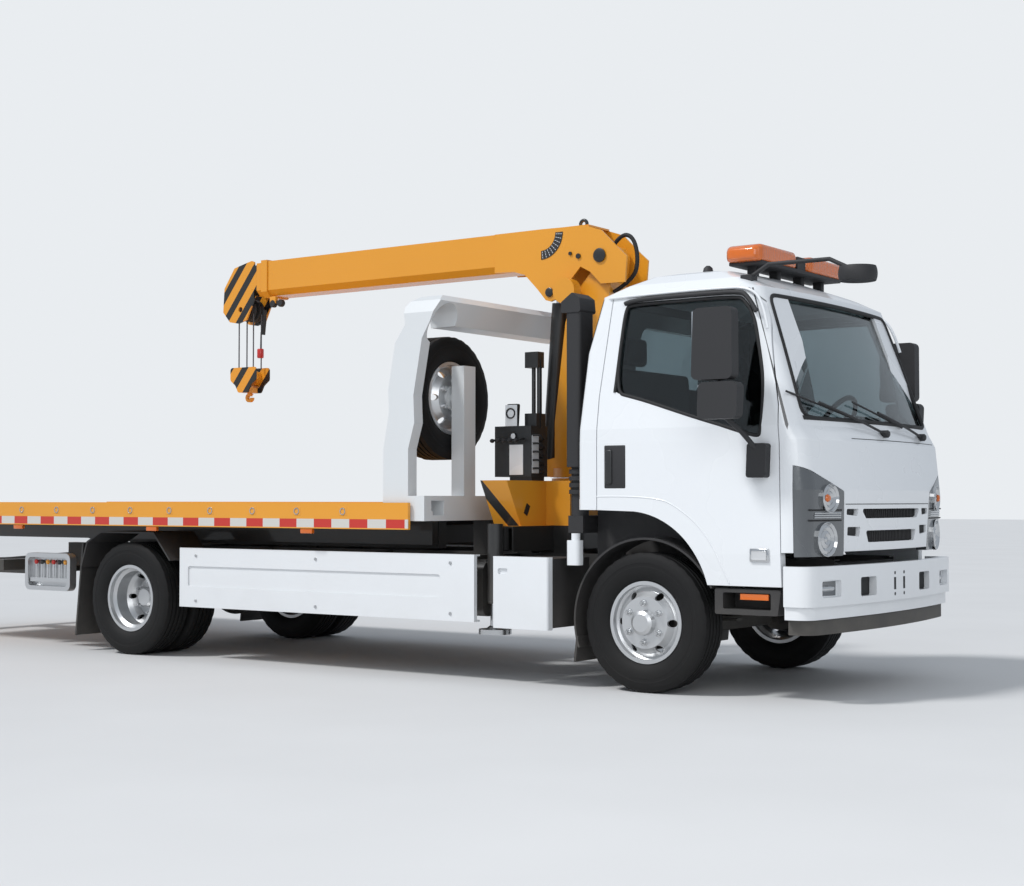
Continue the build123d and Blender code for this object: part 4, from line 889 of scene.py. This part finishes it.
class TRUCK_OT_wipers(bpy.types.Operator):
    """Two wipers parked on the windscreen"""
    bl_idname = "truck.wipers"
    bl_label = "Wipers"

    def execute(self, context):
        parts = []
        # pivot y, tip y, tip z
        for pivot, tip, tip_z in ((0.62, -0.02, 1.60), (-0.02, -0.70, 1.63)):
            start = at(nose_x(1.475, pivot) + 0.02, pivot, 1.475)
            end = at(nose_x(tip_z, tip) + 0.03, tip, tip_z)
            middle = start.lerp(end, 0.5)
            middle.x += 0.015
            parts.append(pipe("wiper_arm", [start, start.lerp(middle, 0.5), middle, end], 0.0075))
            first = at(nose_x(tip_z - 0.07, tip + 0.36) + 0.012, tip + 0.36, tip_z - 0.075)
            last = at(nose_x(tip_z + 0.05, tip - 0.26) + 0.012, tip - 0.26, tip_z + 0.05)
            centre = first.lerp(last, 0.5)
            centre.x = at(nose_x(tip_z, tip), 0, 0).x + 0.016
            parts.append(pipe("wiper_blade", [first, centre, last], 0.006))
            parts.append(turned("wiper_cap", [(-0.03, 0), (-0.03, 0.022), (0.018, 0.022),
                (0.026, 0.014), (0.026, 0)], start, "X", 20))
        gather("wipers", parts, "black_plastic", "cab")
        return {"FINISHED"}


class TRUCK_OT_cab_lamps(bpy.types.Operator):
    """Reflectors of the headlamps, and fog lamps, side lamps and step reflectors"""
    bl_idname = "truck.cab_lamps"
    bl_label = "Cab lamps"

    def execute(self, context):
        for side, sign in SIDES:
            bowls = []
            # y, z, radius, facets round the bowl
            for y, z, radius, facets in ((0.785, 0.882, 0.094, 18), (0.770, 1.105, 0.078, 26)):
                spot = at(nose_x(z, y) + 0.003, sign * y, z)
                bowl = turned("bowl", [(0.009, 0.0), (0.002, radius * 0.16), (0.010, radius * 0.34),
                    (0.001, radius * 0.52), (0.010, radius * 0.70), (0.003, radius * 0.86),
                    (0.014, radius * 0.97), (0.013, radius), (-0.010, radius)], spot, "X", facets,
                    sign * 0.16)
                bpy.ops.object.shade_flat()
                bowls.append(bowl)
            for z in (1.000, 1.012, 1.024):
                bowls.append(pipe("strip", nose_run(z, 0.65, 0.90, 5, 0.001, sign), 0.0055))
            gather("lamp_bowls_" + side, bowls, "chrome", "cab")
            dark = [pipe("gap", nose_run(z, 0.64, 0.94, 5, 0.0005, sign), 0.0045)
                for z in (0.984, 1.040)]
            gather("lamp_gaps_" + side, dark, "seal_rubber", "cab")
            bulb = turned("indicator_bulb_" + side, [(-0.004, 0.0), (-0.002, 0.016), (0.008, 0.022),
                (0.017, 0.016), (0.019, 0.0)], at(nose_x(1.105, 0.80) + 0.006, sign * 0.80, 1.105), "X",
                20, sign * 0.16)
            dress(bulb, "amber_lens", "cab")
            place = (Matrix.Translation(at(1.0582, sign * 0.810, 0.618))
                @ Matrix.Rotation(sign * 0.154, 4, "Z"))
            fog = plate("fog_lens_" + side, (-0.007, -0.082, -0.040), (0.007, 0.082, 0.040), 0.005, 3,
                0.006)
            fog.matrix_world = place
            dress(settle(fog), "lamp_lens", "chassis")
            bulge = turned("fog_bulge_" + side, [(-0.062, 0.0), (-0.060, 0.012), (-0.03, 0.0175),
                (0.03, 0.0175), (0.060, 0.012), (0.062, 0.0)], (0, 0, 0), "Y", 24)
            bulge.matrix_world = place
            dress(settle(bulge), "chrome", "chassis")
            side_trim("chrome", "cab_door_" + side, "side_lamp_base_" + side, sign,
                (0.70, 0.998, 0.760), (0.815, 1.010, 0.833), 0.006, 3)
            side_trim("lamp_white", "cab_door_" + side, "side_lamp_" + side, sign,
                (0.712, 1.006, 0.772), (0.803, 1.014, 0.821), 0.004, 3, 0.008)
            side_trim("amber_lens", "chassis", "step_reflector_" + side, sign,
                (0.63, 0.973, 0.553), (0.80, 0.983, 0.585), 0.003, 2, 0.006)
        return {"FINISHED"}


class TRUCK_OT_bumper_fittings(bpy.types.Operator):
    """Painted shade: dark backs of the towing holes, and dark slots and holes on the blank plate
    bracket
    """
    bl_idname = "truck.bumper_fittings"
    bl_label = "Bumper fittings"

    def execute(self, context):
        # Painted shade: near-black plates and discs stand in for the shade inside the holes and slots.
        dark = []
        for sign in (-1, 1):
            dark.append(side_plate("hole_back", sign, (1.0855, 0.305, 0.560), (1.089, 0.508, 0.675),
                0.001, 1))
            dark.append(side_plate("slot", sign, (1.1365, 0.052, 0.585), (1.1405, 0.080, 0.655), 0.001,
                1))
            for z in (0.560, 0.680):
                dark.append(turned("hole", [(-0.004, 0.0), (-0.004, 0.010), (0.0008, 0.010),
                    (0.0008, 0.0)], at(1.1395, sign * 0.066, z), "X", 14))
        gather("bumper_openings", dark, "seal_rubber", "chassis")
        return {"FINISHED"}


class TRUCK_OT_grille_louvres(bpy.types.Operator):
    """Dark louvres just inside the grille slots, with painted shade as near-black plates behind them,
    and the seams of the front flap
    """
    bl_idname = "truck.grille_louvres"
    bl_label = "Grille louvres and seams"

    def execute(self, context):
        # Painted shade: the backs are near-black plates behind each slot, standing in for the shade
        # inside the grille.
        backs = []
        ribs = []
        # half width at the foot, half width at the top, z from, z to
        for foot, top, z0, z1 in ((0.362, 0.420, 0.995, 1.043), (0.326, 0.362, 0.861, 0.921)):
            reach = (foot + top) / 2
            for i in range(14):
                y0 = -reach + 2 * reach * i / 14
                y1 = y0 + 2 * reach / 14
                x = min(nose_x(z0, y0), nose_x(z0, y1)) - 0.021
                backs.append(plate("back", at(x - 0.004, y0, z0), at(x, y1, z1), 0.0, 1))
            for i in range(31):
                y = -reach + 0.012 + (2 * reach - 0.024) * i / 30
                x = nose_x(z0, y) - 0.0195
                ribs.append(plate("rib", at(x - 0.006, y - 0.003, z0), at(x + 0.004, y + 0.003, z1),
                    0.0, 1))
        # y from, y to, z from, z to
        for y0, y1, z0, z1 in ((0.468, 0.580, 1.010, 1.043), (0.436, 0.566, 0.896, 0.943)):
            for sign in (-1, 1):
                x = nose_x(z0, y1) - 0.010
                backs.append(side_plate("back", sign, (x - 0.004, y0, z0), (x, y1, z1), 0.0, 1))
        # Painted shade: the back plates take the near-black rubber finish.
        gather("grille_backs", backs, "seal_rubber", "cab")
        gather("grille_ribs", ribs, "black_plastic", "cab")
        # y from, y to, z
        seams = [pipe("seam", nose_run(z, y0, y1, 16, -0.0005), 0.0026)
            for y0, y1, z in ((-0.46, 0.86, 1.436), (-0.60, 0.60, 1.072))]
        gather("front_seams", seams, "seal_rubber", "cab")
        return {"FINISHED"}


class TRUCK_OT_beacons(bpy.types.Operator):
    """Ribbed amber domes, feet and tray of the roof bar, and the aerial foot"""
    bl_idname = "truck.beacons"
    bl_label = "Roof beacons"

    def execute(self, context):
        low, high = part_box("light_bar")
        middle, half = (low.x + high.x) / 2, high.y
        domes = []
        for sign in (-1, 1):
            y0, y1 = sorted((sign * 0.105, sign * (half - 0.045)))
            dome = plate("dome", (low.x + 0.012, y0, high.z - 0.104),
                (high.x - 0.012, y1, high.z - 0.006), 0.0)
            bpy.ops.object.mode_set(mode="EDIT")
            bpy.ops.mesh.select_mode(type="FACE")
            for end in (-1, 1):
                bpy.ops.mesh.select_all(action="DESELECT")
                leave()
                for face in dome.data.polygons:
                    face.select = face.normal.y * end > 0.9
                bpy.ops.object.mode_set(mode="EDIT")
                move = {"value": (0, end * 0.040, -0.008)}
                bpy.ops.mesh.extrude_region_move(TRANSFORM_OT_translate=move)
                bpy.ops.transform.resize(value=(0.74, 1, 0.62))
            leave()
            use(dome, "BEVEL", width=0.026, segments=5, limit_method="ANGLE",
                angle_limit=math.radians(18))
            domes.append(harden(dome, 50))
        domes = gather("beacon_domes", domes, "amber_lens", "cab")
        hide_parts("light_bar")
        feet = [plate("foot", (middle - 0.03, y - 0.022, 2.372),
            (middle + 0.03, y + 0.022, high.z - 0.118), 0.006) for y in (-0.44, -0.16, 0.16, 0.44)]
        tray = plate("beacon_tray", (low.x + 0.02, -half + 0.06, high.z - 0.122),
            (high.x - 0.02, half - 0.06, high.z - 0.100), 0.006, 3)
        horn = plate("beacon_horn_box", (middle - 0.10, -0.058, high.z - 0.12),
            (middle + 0.10, 0.058, high.z - 0.02), 0.010, 3, 0.012)
        foot = turned("aerial_foot", [(0.0, 0.0), (0.0, 0.034), (0.012, 0.034), (0.045, 0.026),
            (0.058, 0.012), (0.060, 0.0)], at(0.16, -0.47, 2.415), "Z", 28)
        gather("beacon_trim", [tray, horn, foot] + feet, "black_plastic", "cab")
        return {"FINISHED"}


class TRUCK_OT_mirrors(bpy.types.Operator):
    """Glasses of the side mirrors"""
    bl_idname = "truck.mirrors"
    bl_label = "Mirrors"

    def execute(self, context):
        for side, sign in SIDES:
            glass = []
            # x of the rear face, z from, z to
            for x, z0, z1 in ((0.518, 1.752, 2.104), (0.553, 1.540, 1.708)):
                glass.append(side_plate("glass", sign, (x - 0.010, 1.229, z0), (x - 0.002, 1.293, z1),
                    0.003, 2))
            gather("mirror_glasses_" + side, glass, "mirror_glass", "cab_door_" + side)
        return {"FINISHED"}


# Lines on the door, x and z: over the wheel arch, over the window, and the gutter above it
ARCH_CREASE = [(-0.282, 1.114), (-0.139, 1.116), (0.008, 1.111), (0.112, 1.101), (0.193, 1.084),
    (0.33, 1.0), (0.425, 0.905), (0.489, 0.81), (0.567, 0.639)]
WINDOW_TOP = [(-0.15, 2.228), (-0.10, 2.244), (0.10, 2.250), (0.35, 2.250), (0.58, 2.248),
    (0.64, 2.226), (0.70, 2.130)]
GUTTER = [(-0.26, 2.268), (0.10, 2.276), (0.45, 2.276), (0.64, 2.270), (0.735, 2.19), (0.775, 2.03)]


class TRUCK_OT_door_fittings(bpy.types.Operator):
    """Door handles, window visors, arch creases and gutters"""
    bl_idname = "truck.door_fittings"
    bl_label = "Door fittings"

    def execute(self, context):
        for side, sign in SIDES:
            door = "cab_door_" + side
            side_trim("black_plastic", door, "handle_cup_" + side, sign,
                (-0.232, DOOR_FACE_Y - 0.016, 1.159), (-0.087, DOOR_FACE_Y + 0.0035, 1.409), 0.0085, 4)
            side_trim("black_paint", door, "handle_grip_" + side, sign,
                (-0.218, DOOR_FACE_Y - 0.004, 1.185), (-0.176, DOOR_FACE_Y + 0.013, 1.383), 0.008, 3)
            # name, line, how far out, radius, finish, body
            for name, rows, lift, radius, look, body in (
                    ("window_visor_", WINDOW_TOP, 0.012, 0.014, "black_plastic", door),
                    ("arch_crease_", ARCH_CREASE, -0.001, 0.005, "white_paint", door),
                    ("door_gutter_", GUTTER, 0.006, 0.009, "white_paint", "cab")):
                dress(pipe(name + side, side_run(rows, lift, sign), radius), look, body)
        return {"FINISHED"}


# Seats


class TRUCK_OT_seats(bpy.types.Operator):
    """Crowned seat cushions and backs with their headrests"""
    bl_idname = "truck.seats"
    bl_label = "Seats"

    def pad(self, name, low, high, lean=0.0):
        piece = plate(name, low, high, 0.03, 4, angle=60)
        if lean:
            foot = Vector((high.x, 0, low.z))
            piece.matrix_world = (Matrix.Translation(foot) @ Matrix.Rotation(-lean, 4, "Y")
                @ Matrix.Translation(-foot))
            settle(piece)
        dress(piece, "trim_fabric", "cab")
        return piece

    def execute(self, context):
        first = None
        # name, centre y, half width
        for name, y, half in (("driver", 0.56, 0.235), ("passenger", -0.42, 0.415)):
            cushion = self.pad(name + "_cushion", at(-0.165, y - half, 1.175),
                at(0.345, y + half, 1.308))
            self.pad(name + "_back", at(-0.252, y - half, 1.24), at(-0.178, y + half, 1.87), 0.075)
            first = first or cushion
        for i, y in enumerate((0.56, -0.62)):
            self.pad("headrest_%d" % (i + 1), at(-0.295, y - 0.11, 1.89), at(-0.222, y + 0.11, 2.055))
        plinths = [plate("plinth", at(-0.12, y - half + 0.03, 1.092), at(0.30, y + half - 0.03, 1.172),
            0.01, 2, 0.02) for y, half in ((0.56, 0.235), (-0.42, 0.415))]
        gather("seat_plinths", plinths, "grey_plastic", "cab")
        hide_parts("seats")
        return {"FINISHED"}


# Bed


class TRUCK_OT_bed_fittings(bpy.types.Operator):
    """Tie-down rings, marker lamps and ribs of the bed"""
    bl_idname = "truck.bed_fittings"
    bl_label = "Bed fittings"

    def execute(self, context):
        rings, bosses = [], []
        for i in range(12):
            x = -2.09 - i * RING_PITCH
            for sign in (-1, 1):
                spot = at(x, sign * RAIL_FACE_Y, 1.022)
                rings.append(ring(spot, 0.020, 0.0045, 20, 6))
                bosses.append(side_plate("boss", sign, (x - 0.035, 1.1480, 0.995),
                    (x + 0.035, RAIL_FACE_Y, 1.050), 0.0015, 1))
        gather("tie_rings", rings, "bright_steel", "bed")
        gather("ring_bosses", bosses, "yellow_paint", "bed")
        lamps = []
        for x in (-2.408, -3.858, -5.303, -6.60):
            for sign in (-1, 1):
                z = 0.905 if x > -6.5 else 0.935
                lamps.append(side_plate("marker", sign, (x - 0.05, 1.118, z - 0.026),
                    (x + 0.05, 1.146, z + 0.006), 0.005, 3))
        gather("bed_marker_lamps", lamps, "amber_lens", "bed")
        ribs = [plate("rib", at(x - 0.012, -1.10, DECK_TOP_Z), at(x + 0.012, 1.10, DECK_TOP_Z + 0.004),
            0.0015, 1) for x in [-2.0 - i * RIB_PITCH for i in range(24)]]
        gather("deck_ribs", ribs, "yellow_paint", "bed")
        return {"FINISHED"}


class TRUCK_OT_side_fittings(bpy.types.Operator):
    """Bolts of the side guards and knobs of the lever station"""
    bl_idname = "truck.side_fittings"
    bl_label = "Side fittings"

    def execute(self, context):
        bolts = []
        for x in (-3.50, -2.40, -1.30):
            for z in (0.405, 0.712):
                for sign in (-1, 1):
                    bolts.append(outward("bolt", [(-0.006, 0), (-0.006, 0.009), (-0.001, 0.011),
                        (0.0, 0.011)], at(x, sign * GUARD_FACE_Y, z), -sign, 12))
        gather("guard_bolts", bolts, "bright_steel", "chassis")
        knobs = []
        for i in range(6):
            spot = at(-5.25 + 0.066 * i, -1.012, 0.634)
            knobs.append(turned("knob", [(-0.018, 0), (-0.018, 0.009), (-0.006, 0.0145),
                (0.008, 0.0145), (0.016, 0.008), (0.016, 0)], spot, "Z", 16))
        for i, finish_name in enumerate(("red_paint", "black_plastic", "yellow_paint")):
            gather("bed_lever_knobs_" + finish_name.split("_")[0], knobs[i::3], finish_name, "chassis")
        return {"FINISHED"}


# Crane


class TRUCK_OT_crane_fittings(bpy.types.Operator):
    """Pins, angle scales, levers, dials, hoses, rollers and limit switch of the crane"""
    bl_idname = "truck.crane_fittings"
    bl_label = "Crane fittings"

    def execute(self, context):
        pins = []
        # x, z, radius, half length of the boom's pins
        for x, z, radius, half in ((-0.805, 2.66, 0.045, 0.152), (-1.195, 2.45, 0.030, 0.148)):
            for sign in (-1, 1):
                pins.append(outward("pin_cap", [(0, 0), (0, radius), (0.008, radius),
                    (0.012, radius * 0.75), (0.012, 0)], at(x, sign * (half - 0.009), z), sign, 28))
        # x, z and radius of the smaller bolts beside the pivot
        for x, z, radius in ((-0.968, 2.668, 0.017), (-1.030, 2.690, 0.012)):
            for sign in (-1, 1):
                pins.append(turned("bolt", [(-0.006, 0), (-0.006, radius), (0.006, radius), (0.006, 0)],
                    at(x, sign * 0.143, z), "Y", 20))
        gather("boom_pin_caps", pins, "black_paint", "boom")
        scales = []
        ticks = []
        middle = at(-1.26, 0, 2.839)
        for sign in (-1, 1):
            face_y = sign * SCALE_FACE_Y
            quarter = turned("scale", [(-0.0015, 0.112), (-0.0015, 0.170), (0.0015, 0.170),
                (0.0015, 0.112), (-0.0015, 0.112)], middle + Vector((0, face_y, 0)), "Y", 64)
            edit_all()
            bpy.ops.mesh.bisect(plane_co=middle, plane_no=(0, 0, 1), clear_outer=True, use_fill=True)
            bpy.ops.mesh.select_all(action="SELECT")
            bpy.ops.mesh.bisect(plane_co=middle, plane_no=(1, 0, 0), clear_inner=True, use_fill=True)
            leave()
            scales.append(quarter)
            for i in range(9):
                for reach in (0.124, 0.141, 0.158):
                    angle = math.radians(-5 - 10 * i)
                    spot = middle + Vector((reach * math.cos(angle), face_y + sign * 0.0019,
                        reach * math.sin(angle)))
                    tick = plate("tick", spot - Vector((0.0014, 0.0005, 0.006)),
                        spot + Vector((0.0014, 0.0005, 0.006)), 0.0, 1)
                    tick.matrix_world = (Matrix.Translation(spot)
                        @ Matrix.Rotation(math.pi / 2 - angle, 4, "Y") @ Matrix.Translation(-spot))
                    ticks.append(settle(tick))
        gather("angle_scales", scales, "black_plastic", "boom")
        gather("angle_scale_ticks", ticks, "white_paint", "boom")
        dress(hose("boom_hose", 0.014, (-0.765, -0.05, 2.722), (-0.70, -0.05, 2.80),
            (-0.61, -0.05, 2.775), (-0.572, -0.05, 2.64), (-0.60, -0.05, 2.50), (-0.755, -0.05, 2.43)),
            "seal_rubber", "column")
        knobs = []
        for i in range(5):
            spot = at(-1.29 + 0.046 * i, -0.645, 1.466)
            knobs.append(turned("knob", [(-0.014, 0), (-0.014, 0.008), (-0.004, 0.013), (0.008, 0.013),
                (0.014, 0.006), (0.014, 0)], spot, "Y", 16))
        gather("crane_lever_knobs", knobs, "black_plastic", "chassis")
        # near corner and far corner of the blank sheets on the valve bank
        sheets = [plate("valve_sheet", at(*low), at(*high), 0.001, 1) for low, high in (
            ((-1.247, -0.5625, 1.560), (-1.157, -0.5590, 1.694)),
            ((-1.215, -0.5635, 1.252), (-1.110, -0.5600, 1.442)),
            ((-1.0505, -0.552, 1.262), (-1.0470, -0.478, 1.500)))]
        gather("valve_sheets", sheets, "white_paint", "chassis")
        rings = []
        faces = []
        # x, z, radius
        for x, z, radius in ((-1.203, 1.640, 0.034), (-1.185, 1.497, 0.024)):
            rings.append(turned("dial_ring", [(0.0, 0), (0.0, radius * 0.8), (-0.004, radius * 0.84),
                (-0.008, radius), (0.002, radius), (0.002, 0)], at(x, -0.5635, z), "Y", 32))
            faces.append(turned("dial_face", [(0.0, 0), (0.0, radius * 0.72), (-0.0015, radius * 0.72),
                (-0.0015, 0)], at(x, -0.5637, z), "Y", 28))
        gather("dial_rings", rings, "black_plastic", "chassis")
        gather("dial_faces", faces, "white_paint", "chassis")
        hoses = []
        for z in (1.500, 1.448, 1.396, 1.344, 1.292):
            hoses.append(hose("valve_hose", 0.0065, (-1.046, -0.546, z), (-1.015, -0.535, z + 0.004),
                (-1.000, -0.505, z - 0.012), (-1.010, -0.470, z - 0.030), (-1.046, -0.455, z - 0.034)))
        gather("valve_hoses", hoses, "seal_rubber", "chassis")
        # Painted shade: near-black lozenge plates stand in for the shade inside the windows of the
        # crane base.
        lozenge = plate("base_window", (-0.002, -0.020, -0.034), (0.002, 0.020, 0.034), 0.0, 1)
        lozenges = [copy_to(lozenge, "base_window", Matrix.Translation(at(-1.0285, sign * 0.635, 1.035))
            @ Matrix.Rotation(sign * 0.5, 4, "X")) for sign in (-1, 1)]
        bpy.data.objects.remove(lozenge)
        gather("base_windows", lozenges, "seal_rubber", "chassis")
        eye = ring(at(-1.018, 0, 2.900), 0.0245, 0.0115, 28, 10)
        eye.name = "lifting_eye_ring"
        dress(eye, "black_paint", "boom")
        dress(plate("roller_hanger", at(-3.735, -0.110, 2.552), at(-3.675, -0.080, 2.606), 0.004, 2),
            "yellow_paint", "boom")
        rollers = [turned("roller", [(-0.018, 0), (-0.018, 0.024), (-0.012, 0.028), (0.012, 0.028),
            (0.018, 0.024), (0.018, 0)], at(x, -0.096, 2.552), "Y", 24) for x in (-3.705, -3.630)]
        strap = plate("roller_strap", at(-3.71, -0.101, 2.545), at(-3.62, -0.091, 2.575), 0.003, 2)
        gather("boom_rollers", rollers + [strap], "black_plastic", "boom")
        pipes = [hose("feed_pipe", 0.009, (x, -0.103, 1.33), (x, -0.103, 1.6), (x - 0.005, -0.103, 1.9),
            (x + 0.02, -0.103, 2.25)) for x in (-0.96, -0.992, -1.024, -1.056)]
        gather("column_feed_pipes", pipes, "black_plastic", "column")
        weight = turned("limit_weight", [(-0.035, 0), (-0.035, 0.021), (-0.029, 0.025), (0.029, 0.025),
            (0.035, 0.021), (0.035, 0)], at(-3.932, 0, 2.20), "Z", 28)
        dress(weight, "red_paint", "rope_sling")
        dress(hose("limit_line", 0.004, (-3.932, 0, 2.23), (-3.930, 0, 2.30), (-3.928, 0, 2.36)),
            "wire_steel", "rope_sling")
        dress(hose("limit_switch", 0.016, (-3.895, 0, 2.525), (-3.890, 0, 2.46), (-3.900, 0, 2.39),
            (-3.905, 0, 2.34)), "black_plastic", "tip_section")
        folds = [pipe("fold", [at(-3.68, sign * 0.1225, 2.742), at(-1.45, sign * 0.1225, 2.772)], 0.003,
            False) for sign in (-1, 1)]
        gather("boom_folds", folds, "yellow_paint", "boom")
        return {"FINISHED"}


OPERATORS = (
    TRUCK_OT_stage, TRUCK_OT_finishes, TRUCK_OT_tyres, TRUCK_OT_wheel_fittings, TRUCK_OT_glazing_seals,
    TRUCK_OT_wipers, TRUCK_OT_cab_lamps, TRUCK_OT_bumper_fittings, TRUCK_OT_grille_louvres,
    TRUCK_OT_beacons, TRUCK_OT_mirrors, TRUCK_OT_door_fittings, TRUCK_OT_seats, TRUCK_OT_bed_fittings,
    TRUCK_OT_side_fittings, TRUCK_OT_crane_fittings,
)
GROUPS = (
    ("finish", FinishSettings), ("tyres", TyreSettings), ("stripes", StripeSettings),
    ("stage", StageSettings),
)


class TRUCK_PT_panel(bpy.types.Panel):
    """The truck's settings and steps"""
    bl_label = "Recovery truck"
    bl_space_type = "VIEW_3D"
    bl_region_type = "UI"
    bl_category = "Truck"

    def draw(self, context):
        for name, kind in GROUPS:
            box = self.layout.box()
            box.label(text=name.capitalize())
            for key in kind.__annotations__:
                box.prop(settings(name), key)
        for step in OPERATORS:
            self.layout.operator(step.bl_idname)


def register():
    for name, kind in GROUPS:
        bpy.utils.register_class(kind)
        setattr(bpy.types.Scene, "truck_" + name, bpy.props.PointerProperty(type=kind))
    for step in OPERATORS:
        bpy.utils.register_class(step)
    bpy.utils.register_class(TRUCK_PT_panel)


def unregister():
    bpy.utils.unregister_class(TRUCK_PT_panel)
    for step in reversed(OPERATORS):
        bpy.utils.unregister_class(step)
    for name, kind in reversed(GROUPS):
        delattr(bpy.types.Scene, "truck_" + name)
        bpy.utils.unregister_class(kind)


def main():
    register()
    for step in OPERATORS:
        area, name = step.bl_idname.split(".")
        result = getattr(getattr(bpy.ops, area), name)()
        if "FINISHED" not in result:
            raise RuntimeError(step.bl_label + " didn't finish")


if __name__ == "__main__":
    main()
